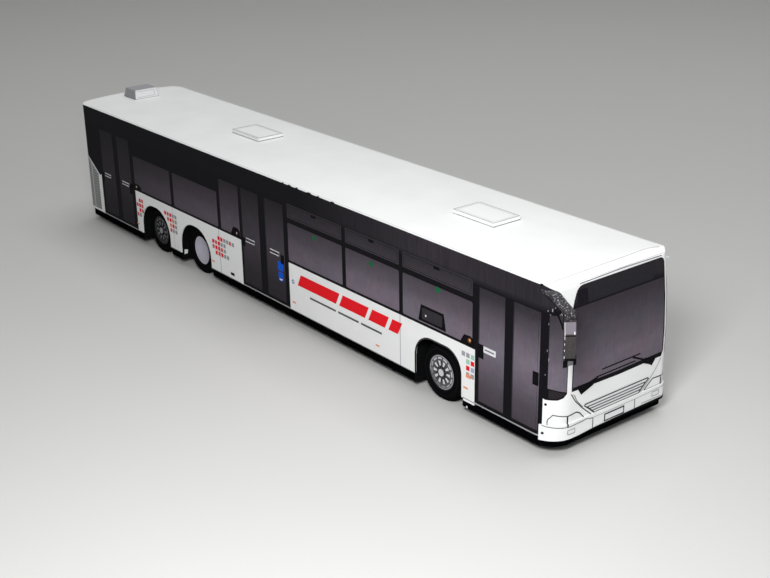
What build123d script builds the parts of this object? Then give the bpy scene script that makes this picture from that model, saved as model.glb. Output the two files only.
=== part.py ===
"""A printed card model of a long three-axle city bus, to a scale of 1:87, in millimetres.

+X points forward, +Y to the bus's left and +Z up, and the wheels stand on z = 0. The body is a
hollow box of thin card: two side sheets, a cambered roof with a bevelled front lip, a nose that
wraps round both front corners and a tail that wraps round the rear ones. A dark skirt glued
inside them carries the floor. Each wheel turns in an arched well with a hole for its axle wire.
Distances along the bus are measured from its tail, and at() turns them into x.
"""
import os
from math import asin, cos, radians, sin, sqrt, tan

from build123d import *

# The body box
CARD = 0.3                  # thickness of the card
LENGTH = 172.4              # tail to bumper, without the mirrors
WIDTH = 29.3                # over the side sheets
ROOF_EDGE_Z = 31.5          # top of the sides
CROWN = 0.7                 # rise of the roof's middle above its edges
PANEL_FOOT_Z = 3.5          # lower edge of the white sheets
FLOOR_Z = 1.6               # underside of the floor and of the dark skirt
SKIRT_TOP_Z = 7.5           # how far the skirt reaches up inside the sides

# The ends
TAIL_WRAP = 3.6             # the tail reaches this far along each side
TAIL_CORNER = 2.6           # radius of the rear corners
NOSE_WRAP = 3.4             # the nose reaches this far back from the bumper's front
NOSE_CORNER = 1.6           # radius of the front corners
NOSE_BEND = 4.6             # the card is bent more gently round the foot of the right one
NOSE_BELLY_Z = 14.0         # the face is upright up to about this height and leans back above it
NOSE_RADIUS = 105.0         # in flat strips that touch an arc of this radius, seen from the side
NOSE_STRIPS = 3
LIP_WRAP = 3.5              # fold of the roof's front lip, back from the bumper's front
LIP_SLOPE = 40.0            # degrees that the lip falls forward
BUMPER_FOOT_Z = 3.0
BUMPER_TOP_Z = 5.95

# The wheels
TYRE_RADIUS = 5.6
TYRE_WIDTH = 3.0
TYRE_CHAMFER = 0.4          # worn outer shoulder
TWIN_GAP = 0.5              # between the two tyres of a twin wheel
HUB_RADIUS = 3.4
HUB_FIT = 0.05              # play round a hub in its tyre
HUB_RECESS = 0.3            # pocket in the tyre's face under a flat hub
HUB_SINK = 0.1              # a flat hub's face lies this far inside the tyre's
DISH_RECESS = 1.2           # pocket under the drive axle's dished hub
DISH_FLOOR = 1.2            # radius of the dish's flat bottom
BOSS_RADIUS = 0.75
BOSS_PROUD = 0.2
WIRE_RADIUS = 0.6           # axle wire
WIRE_PLAY = 0.05
WELL_PLAY = 0.6             # from the inner tyre to the well's inner wall

# The axles, with the arch round each one and how far in its wheels sit
FRONT_OVERHANG = 30.0       # from the front axle to the bumper's front
TAG_OVERHANG = 36.3         # from the tail to the tag axle
TAG_SPREAD = 19.1           # from the tag axle to the drive axle
AXLES = {
    # name: (axle, arch's reach behind it, reach ahead, top z, rear radius, front radius, inset)
    "front": (LENGTH - FRONT_OVERHANG, 6.5, 6.8, 12.2, 2.9, 4.4, 1.1),
    "drive": (TAG_OVERHANG + TAG_SPREAD, 7.0, 6.9, 12.0, 6.4, 6.4, 1.5),
    "tag": (TAG_OVERHANG, 6.9, 7.1, 12.0, 6.4, 6.4, 1.5),
}
TWIN_AXLES = ("drive",)

# On the roof
HATCH_LONG = 11.2
HATCH_WIDE = 6.8
HATCH_THICK = 0.8
FRONT_HATCH_BACK = 33.6     # from its middle to the bumper's front
MIDDLE_HATCH_AT = 60.3      # from the tail to its middle
FRONT_HATCH_ASIDE = 0.6     # the hatches are glued on a little to the left
MIDDLE_HATCH_ASIDE = 1.1
VENT_AT = 6.5
VENT_FOOT = (6.4, 6.8)
VENT_TOP = (4.9, 6.2)
VENT_HEIGHT = 2.3
VENT_LEAN = 0.25            # the vent's top lies this far forward of its foot

# The mirrors
MIRROR_AHEAD = 4.8          # the right mirror's front, ahead of the bumper
MIRROR_PROUD = 2.05         # either mirror's outer face stands this far out of the side
MIRROR_WIDE = 1.9
MIRROR_DEEP = 1.3
MIRROR_TALL = 6.8
MIRROR_BOWED = 2.3          # height of the sloping upper part of a housing
MIRROR_TOP_Z = 27.7
MIRROR_TURN = 38            # the right housing faces this far outward of straight ahead
ARM_WIDE = 1.9
ARM_THICK = 0.5
ARM_DROP = 1.1              # the arms turn down this far above their housings
ARM_Z = 30.4                # where the right arm leaves the roof's front corner
ARM_ROOT = 0.7              # its foot on the corner, in from the side
ARM_SAG = (0.38, 0.65)      # its bends, as shares of the way to the housing
LEFT_ARM_Z = 28.7
LEFT_ARM_WIDE = 0.9
LEFT_ARM_ROOT = 1.6
LEFT_ARM_PROUD = 1.5        # the left arm's elbow stands this far out of the side
LEFT_MIRROR_BACK = 8.6      # the left mirror's front edge, behind the bumper's front

TAIL_X = -(LENGTH + MIRROR_AHEAD) / 2
HALF = WIDTH / 2
REACH = 2 * WIDTH           # cuts drawn to this size pass right through the bus
CROWN_Z = ROOF_EDGE_Z + CROWN
CAMBER = (HALF**2 + CROWN**2) / (2 * CROWN)
PANEL_FRONT = LENGTH - NOSE_WRAP


def at(along):
    """The x of a place given by its distance from the tail."""
    return TAIL_X + along


def across(sketch, y_from, y_to):
    """Extrude a side-view sketch, x and z, from one y to a larger one."""
    return extrude(Plane.XZ.offset(-y_to) * sketch, amount=y_to - y_from)


def slab(x_from, x_to, z_from, z_to, half=REACH):
    """A box across the bus between two x and two z."""
    middle = Pos((x_from + x_to) / 2, 0, (z_from + z_to) / 2)
    return middle * Box(x_to - x_from, 2 * half, z_to - z_from)


def rounded(solid, end, right_radius, left_radius):
    """Round both upright edges at a block's rear end, 0, or its front end, -1."""
    for side, radius in ((0, right_radius), (-1, left_radius)):
        face = solid.faces().sort_by(Axis.X)[end]
        edge = face.edges().filter_by(Axis.Y, reverse=True).sort_by(Axis.Y)[side]
        solid = fillet(edge, radius)
    return solid


def leaning(inset, lean):
    """A block as high as the bus whose front is a plane that touches the nose's arc."""
    right_corner = NOSE_CORNER if lean else NOSE_BEND
    bend = NOSE_RADIUS - inset
    touch_x = at(LENGTH - CARD) - NOSE_RADIUS + bend * cos(lean)
    touch_z = NOSE_BELLY_Z + bend * sin(lean)
    tail = at(inset)
    low = -CARD
    high = CROWN_Z + CARD
    profile = Polyline((tail, low), (touch_x - (low - touch_z) * tan(lean), low),
                       (touch_x - (high - touch_z) * tan(lean), high), (tail, high), (tail, low))
    solid = across(make_face(profile.edges()), inset - HALF, HALF - inset)
    return rounded(solid, -1, right_corner - inset, NOSE_CORNER - inset)


def block(inset):
    """The body's upright block, drawn in by inset, with its face bent back in flat strips."""
    solid = rounded(leaning(inset, 0), 0, TAIL_CORNER - inset, TAIL_CORNER - inset)
    full_lean = asin((CROWN_Z - NOSE_BELLY_Z) / NOSE_RADIUS)
    for strip in range(1, NOSE_STRIPS + 1):
        solid = solid & leaning(inset, full_lean * strip / NOSE_STRIPS)
    return solid


def under_roof(drop):
    """Everything below the cambered roof and its sloping lip, lowered by drop."""
    def camber_z(y):
        return CROWN_Z - drop - CAMBER + sqrt(CAMBER**2 - y**2)

    arc = ThreePointArc((-REACH / 2, camber_z(REACH / 2)), (0, CROWN_Z - drop),
                        (REACH / 2, camber_z(REACH / 2)))
    rest = Polyline((REACH / 2, camber_z(REACH / 2)), (REACH / 2, -REACH), (-REACH / 2, -REACH),
                    (-REACH / 2, camber_z(REACH / 2)))
    vault = make_face([*arc.edges(), *rest.edges()])
    vault = extrude(Plane.YZ.offset(-LENGTH) * vault, amount=2 * LENGTH)
    slope = tan(radians(LIP_SLOPE))
    top = CROWN_Z - drop / cos(radians(LIP_SLOPE))
    back = at(LENGTH - LIP_WRAP)
    side = make_face(Polyline((-LENGTH, -REACH), (LENGTH, -REACH), (LENGTH, top - slope * (LENGTH - back)),
                              (-LENGTH, top + slope * (LENGTH + back)), (-LENGTH, -REACH)).edges())
    return vault & across(side, -REACH, REACH)


def arch(axle, grow):
    """One wheel arch seen from the side, made larger all round by grow."""
    along, behind, ahead, top, rear_radius, front_radius, _ = AXLES[axle]
    low = FLOOR_Z - REACH
    left = at(along - behind) - grow
    right = at(along + ahead) + grow
    crest = top + grow
    straight_left = Line((left, low), (left, crest - rear_radius - grow))
    turn_left = RadiusArc(straight_left @ 1, (left + rear_radius + grow, crest), rear_radius + grow)
    flat = Line(turn_left @ 1, (right - front_radius - grow, crest))
    turn_right = RadiusArc(flat @ 1, (right, crest - front_radius - grow), front_radius + grow)
    rest = Polyline(turn_right @ 1, (right, low), (left, low))
    lines = [straight_left, turn_left, flat, turn_right, rest]
    return make_face([edge for line in lines for edge in line.edges()])


def arches(grow):
    """All the arches, cut right across the bus."""
    return [across(arch(axle, grow), -REACH, REACH) for axle in AXLES]


def tyre_faces(axle):
    """Distances from the middle line of the tyres' faces: outer face first, then inward."""
    outer = HALF - AXLES[axle][6]
    faces = [(outer, outer - TYRE_WIDTH)]
    if axle in TWIN_AXLES:
        inner = outer - TYRE_WIDTH - TWIN_GAP
        faces.append((inner, inner - TYRE_WIDTH))
    return faces


def well_depth(axle):
    """Distance from the middle line of a well's inner wall."""
    return tyre_faces(axle)[-1][1] - WELL_PLAY


def turned(axle, outline):
    """Turn an outline of (radius, y) points about an axle: right side as drawn."""
    solid = revolve(Plane.XY * make_face(Polyline(*outline, outline[0]).edges()), Axis.Y)
    return Pos(at(AXLES[axle][0]), 0, TYRE_RADIUS) * solid


def both(name, solid):
    """A right-hand piece and its mirror image on the left."""
    return {f"{name}_right": solid, f"{name}_left": mirror(solid, Plane.XZ)}


def body():
    """The card sheets of the body."""
    outer = block(0)
    inner = block(CARD)
    capped = under_roof(CARD)
    walls = (outer - inner) & capped & slab(-LENGTH, LENGTH, PANEL_FOOT_Z, REACH)
    roof = (outer & under_roof(0)) - capped
    ends = at(TAIL_WRAP)
    front = at(PANEL_FRONT)
    sheets = walls & slab(ends, front, -REACH, REACH)
    for hole in arches(0):
        sheets = sheets - hole
    right, left = sheets.solids().sort_by(Axis.Y)
    bumper = (block(-CARD) - outer) & slab(front, LENGTH, BUMPER_FOOT_Z, BUMPER_TOP_Z)
    return {
        "roof_panel": roof,
        "side_panel_right": right,
        "side_panel_left": left,
        "nose_shell": walls & slab(front, LENGTH, -REACH, REACH),
        "tail_shell": walls & slab(-LENGTH, ends, -REACH, REACH),
        "bumper_front": bumper,
    }


def underbody():
    """The dark skirt inside the sheets, the floor and the wheel wells."""
    ring = (block(CARD) - block(2 * CARD)) & slab(-LENGTH, LENGTH, FLOOR_Z, SKIRT_TOP_Z)
    floor = block(2 * CARD) & slab(-LENGTH, LENGTH, FLOOR_Z, FLOOR_Z + CARD)
    sides = ring & slab(at(TAIL_WRAP), at(PANEL_FRONT), -REACH, REACH)
    pieces = {}
    for axle, hole in zip(AXLES, arches(CARD)):
        sides = sides - hole
        wall = well_depth(axle)
        tunnel = across(arch(axle, CARD), -HALF + CARD, -wall + CARD)
        tunnel = tunnel - across(arch(axle, 0), -HALF, -wall)
        tunnel = tunnel & slab(-LENGTH, LENGTH, FLOOR_Z, REACH)
        centre = Pos(at(AXLES[axle][0]), 0, TYRE_RADIUS)
        tunnel = tunnel - centre * Rot(90, 0, 0) * Cylinder(WIRE_RADIUS + WIRE_PLAY, WIDTH)
        pieces |= both(f"wheel_well_{axle}", tunnel)
        notch = across(arch(axle, CARD), -HALF, -wall + CARD)
        floor = floor - notch - mirror(notch, Plane.XZ)
    strips = sides.solids()
    return {
        "skirt_right": Compound([strip for strip in strips if strip.center().Y < 0]),
        "skirt_left": Compound([strip for strip in strips if strip.center().Y > 0]),
        "skirt_front": ring & slab(at(PANEL_FRONT), LENGTH, -REACH, REACH),
        "skirt_rear": ring & slab(-LENGTH, at(TAIL_WRAP), -REACH, REACH),
        "floor_plate": floor,
    } | pieces


def tyre_outline(face, back, pocket):
    """A tyre's half section as (radius, y), with the pocket for its hub: a right-hand wheel."""
    rim = HUB_RADIUS + HUB_FIT
    return [(0, -back), (TYRE_RADIUS, -back), (TYRE_RADIUS, -face + TYRE_CHAMFER),
            (TYRE_RADIUS - TYRE_CHAMFER, -face), (rim, -face), (rim, -face + pocket), (0, -face + pocket)]


def hub_outline(face):
    """A flat hub's half section: a disc with a small boss."""
    seat = -face + HUB_RECESS
    web = -face + HUB_SINK
    return [(0, seat), (HUB_RADIUS, seat), (HUB_RADIUS, web), (BOSS_RADIUS, web),
            (BOSS_RADIUS, web - BOSS_PROUD), (0, web - BOSS_PROUD)]


def dish_outline(face):
    """The drive axle's hub: a deep cone with a flat bottom and a narrow rim near the tyre's face."""
    seat = -face + DISH_RECESS
    rim = -face + CARD
    return [(0, seat), (HUB_RADIUS, seat), (HUB_RADIUS, rim), (HUB_RADIUS - CARD, rim),
            (DISH_FLOOR, seat - CARD), (0, seat - CARD)]


def wheels():
    """Three axles: a wire, one or two tyres at each end and a hub in each outer tyre."""
    pieces = {}
    for axle in AXLES:
        faces = tyre_faces(axle)
        dished = axle in TWIN_AXLES
        wire = faces[-1][1]
        pieces[f"axle_{axle}"] = turned(axle, [(0, -wire), (WIRE_RADIUS, -wire), (WIRE_RADIUS, wire), (0, wire)])
        face, back = faces[0]
        outline = tyre_outline(face, back, DISH_RECESS if dished else HUB_RECESS)
        if dished:
            inner_face, inner_back = faces[1]
            outline = [(0, -inner_face), (HUB_RADIUS, -inner_face), (HUB_RADIUS, -back)] + outline[1:]
            inner = [(0, -inner_face), (TYRE_RADIUS, -inner_face), (TYRE_RADIUS, -inner_back), (0, -inner_back)]
            pieces |= both(f"tyre_{axle}_inner", turned(axle, inner))
        pieces |= both(f"tyre_{axle}", turned(axle, outline))
        pieces |= both(f"hub_{axle}", turned(axle, dish_outline(face) if dished else hub_outline(face)))
    return pieces


def roof_fittings():
    """Two flat hatches and the tapered vent box, seated on the cambered roof."""
    under = under_roof(0)
    pieces = {}
    hatches = {
        "roof_hatch_front": (LENGTH - FRONT_HATCH_BACK, FRONT_HATCH_ASIDE),
        "roof_hatch_middle": (MIDDLE_HATCH_AT, MIDDLE_HATCH_ASIDE),
    }
    for name, (along, aside) in hatches.items():
        lid = Pos(at(along), aside, CROWN_Z) * Box(HATCH_LONG, HATCH_WIDE, 2 * HATCH_THICK)
        pieces[name] = lid - under
    foot = Plane((at(VENT_AT), 0, CROWN_Z)) * Rectangle(*VENT_FOOT)
    top = Plane((at(VENT_AT + VENT_LEAN), 0, CROWN_Z + VENT_HEIGHT)) * Rectangle(*VENT_TOP)
    sole = Pos(at(VENT_AT), 0, CROWN_Z - CROWN / 2) * Box(*VENT_FOOT, CROWN)
    pieces["roof_vent"] = (loft([foot, top]) + sole) - under
    return pieces


def arm(points, wide):
    """A thin faceted arm along a few straight runs."""
    path = Polyline(*points)
    section = Plane(origin=path @ 0, z_dir=path % 0, x_dir=(0, 0, 1)) * Rectangle(ARM_THICK, wide)
    return sweep(section, path=path, transition=Transition.RIGHT)


def housing():
    """A mirror housing about its top middle: upright back, upper front sloping away."""
    half = MIRROR_DEEP / 2
    low = -MIRROR_TALL
    outline = Polyline((-half, 0), (-half, low), (half, low), (half, -MIRROR_BOWED), (0, 0), (-half, 0))
    return across(make_face(outline.edges()), -MIRROR_WIDE / 2, MIRROR_WIDE / 2)


def mirrors():
    """The right mirror hangs ahead of its corner, turned outward; the left one lies back along the side."""
    skin = block(0)
    outer = HALF + MIRROR_PROUD
    turn = radians(MIRROR_TURN)
    right_x = at(LENGTH + MIRROR_AHEAD) - (MIRROR_DEEP * cos(turn) + MIRROR_WIDE * sin(turn)) / 2
    right_y = (MIRROR_DEEP * sin(turn) + MIRROR_WIDE * cos(turn)) / 2 - outer
    stem_x = right_x - MIRROR_DEEP / 4 * cos(turn)
    stem_y = right_y + MIRROR_DEEP / 4 * sin(turn)
    bend_z = MIRROR_TOP_Z + ARM_DROP
    root_x = at(PANEL_FRONT)
    root_y = -HALF + ARM_ROOT
    near, far = ARM_SAG
    right_arm = arm([
        (root_x, root_y, ARM_Z),
        (root_x + near * (stem_x - root_x), root_y + near * (stem_y - root_y), ARM_Z),
        (root_x + far * (stem_x - root_x), root_y + far * (stem_y - root_y), (ARM_Z + bend_z) / 2),
        (stem_x, stem_y, bend_z),
        (stem_x, stem_y, MIRROR_TOP_Z),
    ], ARM_WIDE)
    left_x = at(LENGTH - LEFT_MIRROR_BACK - MIRROR_WIDE / 2)
    left_y = outer - MIRROR_DEEP / 2
    left_stem_y = left_y - MIRROR_DEEP / 4
    left_arm = arm([
        (root_x + LEFT_ARM_ROOT / 2, HALF - LEFT_ARM_ROOT, LEFT_ARM_Z),
        (root_x, HALF + LEFT_ARM_PROUD, LEFT_ARM_Z),
        (left_x, left_stem_y, LEFT_ARM_Z),
        (left_x, left_stem_y, MIRROR_TOP_Z),
    ], LEFT_ARM_WIDE)
    return {
        "mirror_arm_right": right_arm - skin,
        "mirror_housing_right": Pos(right_x, right_y, MIRROR_TOP_Z) * Rot(0, 0, -MIRROR_TURN) * housing(),
        "mirror_arm_left": left_arm - skin,
        "mirror_housing_left": Pos(left_x, left_y, MIRROR_TOP_Z) * Rot(0, 0, 90) * housing(),
    }


def main():
    os.makedirs("parts", exist_ok=True)
    pieces = body() | underbody() | wheels() | roof_fittings() | mirrors()
    for name, shape in pieces.items():
        shape.label = name
        export_step(shape, f"parts/{name}.step")
        print(f"{name}: {len(shape.solids())} solid, {shape.volume:.1f} mm3")


if __name__ == "__main__":
    main()
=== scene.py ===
"""Finishes a printed card model of a long three-axle city bus: its inks, printed glass, hubs and stage.

Places are in millimetres: along the bus from its tail, up from the floor, across the roof from its
middle, and on the nose and the tail along the card from the middle line, to the bus's left if
positive. The frame gives the body's box. Every print is a thin patch on the card's surface.
"""
import math

import bpy
import numpy as np
from bpy.props import FloatProperty, FloatVectorProperty, PointerProperty
from mathutils import Matrix, Vector


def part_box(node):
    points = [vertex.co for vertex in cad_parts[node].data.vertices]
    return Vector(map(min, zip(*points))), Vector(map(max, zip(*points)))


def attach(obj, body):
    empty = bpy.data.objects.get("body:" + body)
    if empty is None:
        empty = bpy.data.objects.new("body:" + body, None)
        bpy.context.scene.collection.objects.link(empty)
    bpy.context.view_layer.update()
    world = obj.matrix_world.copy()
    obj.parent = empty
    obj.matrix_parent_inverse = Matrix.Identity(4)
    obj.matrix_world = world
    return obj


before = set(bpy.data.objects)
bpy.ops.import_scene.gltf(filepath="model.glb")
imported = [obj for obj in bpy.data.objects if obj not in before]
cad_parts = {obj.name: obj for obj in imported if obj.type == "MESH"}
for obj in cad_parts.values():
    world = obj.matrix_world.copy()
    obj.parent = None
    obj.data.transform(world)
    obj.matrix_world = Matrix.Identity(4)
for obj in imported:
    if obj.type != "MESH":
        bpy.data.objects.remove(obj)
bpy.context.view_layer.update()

bl_info = {
    "name": "Printed card bus",
    "version": (1, 0, 0),
    "blender": (4, 5, 0),
    "location": "3D View > Sidebar > Card bus",
    "description": "Prints, inks and stage for a card model of a city bus",
    "category": "Object",
}

MM = 0.001

# The card body, as it is built. The nose bends round NOSE_BEND on the right and NOSE_CORNER on the
# left, and above its belly it leans back in flat strips that touch an arc of NOSE_RADIUS.
CARD = 0.3
TAIL_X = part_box("tail_shell")[0].x / MM
FACE_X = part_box("nose_shell")[1].x / MM
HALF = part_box("tail_shell")[1].y / MM
CROWN_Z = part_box("roof_panel")[1].z / MM
PANEL_FOOT_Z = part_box("nose_shell")[0].z / MM
BUMPER_TOP_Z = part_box("bumper_front")[1].z / MM
CROWN = 0.7
ROOF_EDGE_Z = CROWN_Z - CROWN
CAMBER = (HALF**2 + CROWN**2) / (2 * CROWN)
TAIL_CORNER = 2.6
NOSE_CORNER = 1.6
NOSE_BEND = 4.6
NOSE_BELLY_Z = 14.0
NOSE_RADIUS = 105.0
NOSE_STRIPS = 3
LENGTH = FACE_X - TAIL_X
SEAM_FRONT = 169.0
SEAM_REAR = 3.6
BAND_TOP_Z = ROOF_EDGE_Z - 0.12
FOOT_LINE_Z = PANEL_FOOT_Z + 0.12
LIP_FOLD = 168.9
LIP_SLOPE = 40.0
MIRROR_TURN = 38.0
MIRROR_WIDE = 1.9
MIRROR_DEEP = 1.3
MIRROR_BOWED = 2.3

# How far each layer of print stands off the card
INK_LIFT = 0.02
GLASS_LIFT = 0.035
MARK_LIFT = 0.05
NOSE_EXTRA = 0.015
LAYER = 0.014

# Widths of printed lines, corner radii of the panes, and the widest spacing of each print's points
HAIR = 0.12
FINE = 0.1
PANE_CORNER = 0.35
HOPPER_CORNER = 0.2
SIDE_STEP = 0.8
NOSE_STEP = 0.45
TAIL_STEP = 0.4
PANEL_STEP = 0.2

# Points in one cell of this size are merged, and faces below this area are left out
MERGE_CELL = 0.0005
LEAST_AREA = 1e-5

SIDE_NAMES = {-1: "right", 1: "left"}

# Doors and windows of the right side, along the bus
REAR_DOOR = (8.9, 10.0, 16.9, 19.1, 25.5, 27.1)
MIDDLE_DOOR = (76.0, 76.8, 83.7, 86.1, 93.1, 94.5)
FRONT_DOOR = (152.75, 153.7, 160.2, 162.3, 168.6, 170.7)
PLAIN_WINDOWS = ((27.3, 45.3), (46.7, 66.5))
TALL_WINDOW = (67.8, 75.7)
HOPPER_WINDOWS = ((94.7, 113.6), (114.8, 131.5), (132.6, 152.0))

# Squares, bars, slats and reflectors of the sides
SQUARE = 0.9
SQUARE_PITCH = (1.22, 1.27)
BAR_LEAN = 1.3
GRILLE_FOOT_Z = 4.1
SLAT_PITCH = 0.72
REFLECTOR_LONG = 1.2
REFLECTOR_HIGH = 0.34

# The windscreen's right and left edges from the middle of the nose print, and a hatch's height
SCREEN_RIGHT = -11.6
SCREEN_LEFT = 11.8
HATCH_HIGH = 0.78

# The inner face of the drive arch's rear wall, along the bus
DRIVE_ARCH_REAR = 48.4

# The front wheel arch: its rear and front edges, its top, and its corners' radii. The sheet's rear
# corner is ARCH_BUILT, and the card that fills it is cut to ARCH_REAR_TURN.
ARCH_REAR = 135.9
ARCH_FRONT = 149.2
ARCH_TOP = 12.2
ARCH_BUILT = 2.9
ARCH_REAR_TURN = 4.8
ARCH_FRONT_TURN = 4.4

# Radii of the hubs' print, from the middle
HUB_BOSS = 0.72
HUB_BOLTS = 1.05
HUB_WEDGES = (1.35, 2.3)
HUB_ARCS = (2.68, 3.0)
HUB_HOLES = 10

# Windows of the left side
LEFT_PLAIN_WINDOWS = ((9.0, 26.0), (27.2, 45.2), (46.5, 66.1))
LEFT_HOPPER_WINDOWS = ((67.3, 90.0), (91.2, 113.6), (114.8, 136.0))
LEFT_DRIVER_WINDOW = (137.2, 157.5)
LEFT_CAB_WINDOW = (158.7, 168.2)

# Printed colours
BLACK = (0.004, 0.0036, 0.0046)
SOFT_BLACK = (0.018, 0.016, 0.020)
GREY = (0.10, 0.10, 0.11)
LIGHT_GREY = (0.30, 0.30, 0.32)
SEAM_GREY = (0.42, 0.42, 0.44)
SQUARE_GREY = (0.33, 0.34, 0.37)
SLATE = (0.045, 0.044, 0.05)
PALE = (0.72, 0.72, 0.75)
WHITE = (0.80, 0.81, 0.82)
ORANGE = (0.36, 0.10, 0.015)
RED = (0.80, 0.014, 0.022)
PINK = (0.62, 0.13, 0.12)
BLUE = (0.008, 0.10, 0.62)
GREEN = (0.012, 0.12, 0.05)
MINT = (0.34, 0.58, 0.47)
PEACH = (0.80, 0.30, 0.16)


class CardSettings(bpy.types.PropertyGroup):
    """Colours and grain of the printed card."""

    white: FloatVectorProperty(name="White card", description="Unprinted card", subtype="COLOR",
                               default=(0.87, 0.88, 0.88), min=0, max=1)
    black: FloatVectorProperty(name="Black ink", description="Solid black print", subtype="COLOR",
                               default=(0.0040, 0.0034, 0.0048), min=0, max=1)
    glass_light: FloatVectorProperty(name="Light glass", description="Printed glass at its lightest",
                                     subtype="COLOR", default=(0.171, 0.136, 0.173), min=0, max=1)
    glass_dark: FloatVectorProperty(name="Dark glass", description="Printed glass at its darkest",
                                    subtype="COLOR", default=(0.010, 0.009, 0.011), min=0, max=1)
    fibre: FloatProperty(name="Fibre", description="Size of the card's fibres", unit="LENGTH",
                         subtype="DISTANCE", default=0.22 * MM, precision=5)
    grain_height: FloatProperty(name="Grain height", description="Depth of the card's grain",
                                unit="LENGTH", subtype="DISTANCE", default=0.012 * MM, precision=6)


class SideSettings(bpy.types.PropertyGroup):
    """Heights of the side print."""

    belt: FloatProperty(name="Belt", description="Foot of the black band, mm", default=14.2)
    pane_foot: FloatProperty(name="Pane foot", description="Foot of the windows, mm", default=14.75)
    pane_top: FloatProperty(name="Pane top", description="Top of the main panes, mm", default=23.1)
    hopper_foot: FloatProperty(name="Hopper foot", description="Foot of the upper panes, mm", default=24.2)
    hopper_top: FloatProperty(name="Hopper top", description="Top of the upper panes, mm", default=27.2)
    door_foot: FloatProperty(name="Door foot", description="Foot of the doors' black, mm", default=3.75)
    leaf_foot: FloatProperty(name="Leaf foot", description="Foot of the doors' glass, mm", default=4.5)
    leaf_top: FloatProperty(name="Leaf top", description="Top of the doors' glass, mm", default=26.5)


class NoseSettings(bpy.types.PropertyGroup):
    """Places of the nose print."""

    shift: FloatProperty(name="Shift", description="The print sits this far to the left, mm", default=1.4)
    screen_foot: FloatProperty(name="Screen foot", description="Foot of the windscreen, mm", default=11.75)
    screen_top: FloatProperty(name="Screen top", description="Top of the windscreen, mm", default=30.25)
    sign_foot: FloatProperty(name="Sign foot", description="Foot of the blank sign band, mm", default=26.6)


class StageSettings(bpy.types.PropertyGroup):
    """Camera, lamps and floor."""

    azimuth: FloatProperty(name="Azimuth", description="Camera's heading", subtype="ANGLE",
                           unit="ROTATION", default=math.radians(51.75))
    elevation: FloatProperty(name="Elevation", description="Camera's height angle", subtype="ANGLE",
                             unit="ROTATION", default=math.radians(21.88))
    roll: FloatProperty(name="Roll", description="Camera's roll", subtype="ANGLE", unit="ROTATION",
                        default=math.radians(-0.914))
    distance: FloatProperty(name="Distance", description="Camera to the aim point", unit="LENGTH",
                            subtype="DISTANCE", default=0.248)
    aim: FloatVectorProperty(name="Aim", description="Point that the camera looks at", unit="LENGTH",
                             subtype="TRANSLATION", default=(0.0346, -0.0115, 0.016))
    lens: FloatProperty(name="Lens", description="Focal length, mm", default=59.33)
    key_watts: FloatProperty(name="Key", description="Power of the key lamp", unit="POWER", default=0.312)
    front_watts: FloatProperty(name="Front", description="Power of the lamp ahead of the nose", unit="POWER",
                               default=0.15)
    fill_watts: FloatProperty(name="Fill", description="Power of the overhead lamp", unit="POWER",
                              default=1.90)
    sky: FloatProperty(name="Sky", description="Strength of the even light", default=0.11)
    floor: FloatVectorProperty(name="Floor", description="Floor's colour", subtype="COLOR",
                               default=(0.62, 0.62, 0.61), min=0, max=1)


# Surfaces of the body

def lean_planes():
    """(plane x, touch z, slope) of the flat strips in which the face leans back above its belly."""
    full = math.asin((CROWN_Z - NOSE_BELLY_Z) / NOSE_RADIUS)
    leans = [full * strip / NOSE_STRIPS for strip in range(1, NOSE_STRIPS + 1)]
    return [(FACE_X - NOSE_RADIUS * (1 - math.cos(lean)), NOSE_BELLY_Z + NOSE_RADIUS * math.sin(lean),
             math.tan(lean)) for lean in leans]


def bend_of(hand):
    """Radius of the front corner on the right, -1, or the left, 1."""
    return np.where(hand < 0, NOSE_BEND, NOSE_CORNER)


def side_start(hand):
    """Distance along the card from the face's middle line to where the side starts."""
    bend = bend_of(hand)
    return HALF - bend + bend * math.pi / 2


def half_way(hand):
    """Distance along the card from the face's middle line to the tail's."""
    bend = bend_of(hand)
    return (side_start(hand) + LENGTH - bend - TAIL_CORNER + TAIL_CORNER * math.pi / 2
            + HALF - TAIL_CORNER)


def around(distance, hand, z, lift):
    """Place on the body at a distance along the card from the face's middle line, on one hand.

    Seen from above, the card runs straight over the face, round an arc, straight along the side,
    round the tail's arc and straight over the tail. Above the belly, x is at most that of each
    leaning strip, whose corner is an arc too. The lift is added along the level normal.
    """
    bend = bend_of(hand)
    face = HALF - bend
    side_from = side_start(hand)
    side_long = LENGTH - bend - TAIL_CORNER
    tail_from = side_from + side_long
    front = np.clip((distance - face) / bend, 0, math.pi / 2)
    rear = np.clip((distance - tail_from) / TAIL_CORNER, 0, math.pi / 2)
    past = np.maximum(distance - tail_from - TAIL_CORNER * math.pi / 2, 0)
    y = np.minimum(distance, face) + bend * np.sin(front) - TAIL_CORNER * (1 - np.cos(rear)) - past
    x = (FACE_X - bend * (1 - np.cos(front)) - np.clip(distance - side_from, 0, side_long)
         - TAIL_CORNER * np.sin(rear))
    beyond = np.clip(y - (HALF - NOSE_CORNER), 0, NOSE_CORNER)
    for plane_x, touch_z, slope in lean_planes():
        leaning = plane_x - slope * (z - touch_z) - NOSE_CORNER + np.sqrt(NOSE_CORNER**2 - beyond**2)
        x = np.minimum(x, leaning)
    out_x = np.cos(front) - np.sin(rear)
    out_y = np.sin(front) * np.cos(rear)
    return x + lift * out_x, hand * (y + lift * out_y), z + 0 * x


def nose(s, z, lift):
    """Place on the nose, s along the card from the middle line."""
    hand = np.where(s < 0, -1, 1)
    return around(np.abs(s), hand, z, lift + NOSE_EXTRA)


def bumper(s, z, lift):
    """Place on the bumper strip, one card thicker than the nose."""
    return nose(s, z, lift + CARD)


def bumper_top(s, ahead, lift):
    """Place on the bumper's narrow top edge, ahead of the nose's face."""
    x, y, _ = nose(s, BUMPER_TOP_Z, ahead)
    return x, y, BUMPER_TOP_Z + lift + 0 * x


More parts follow.
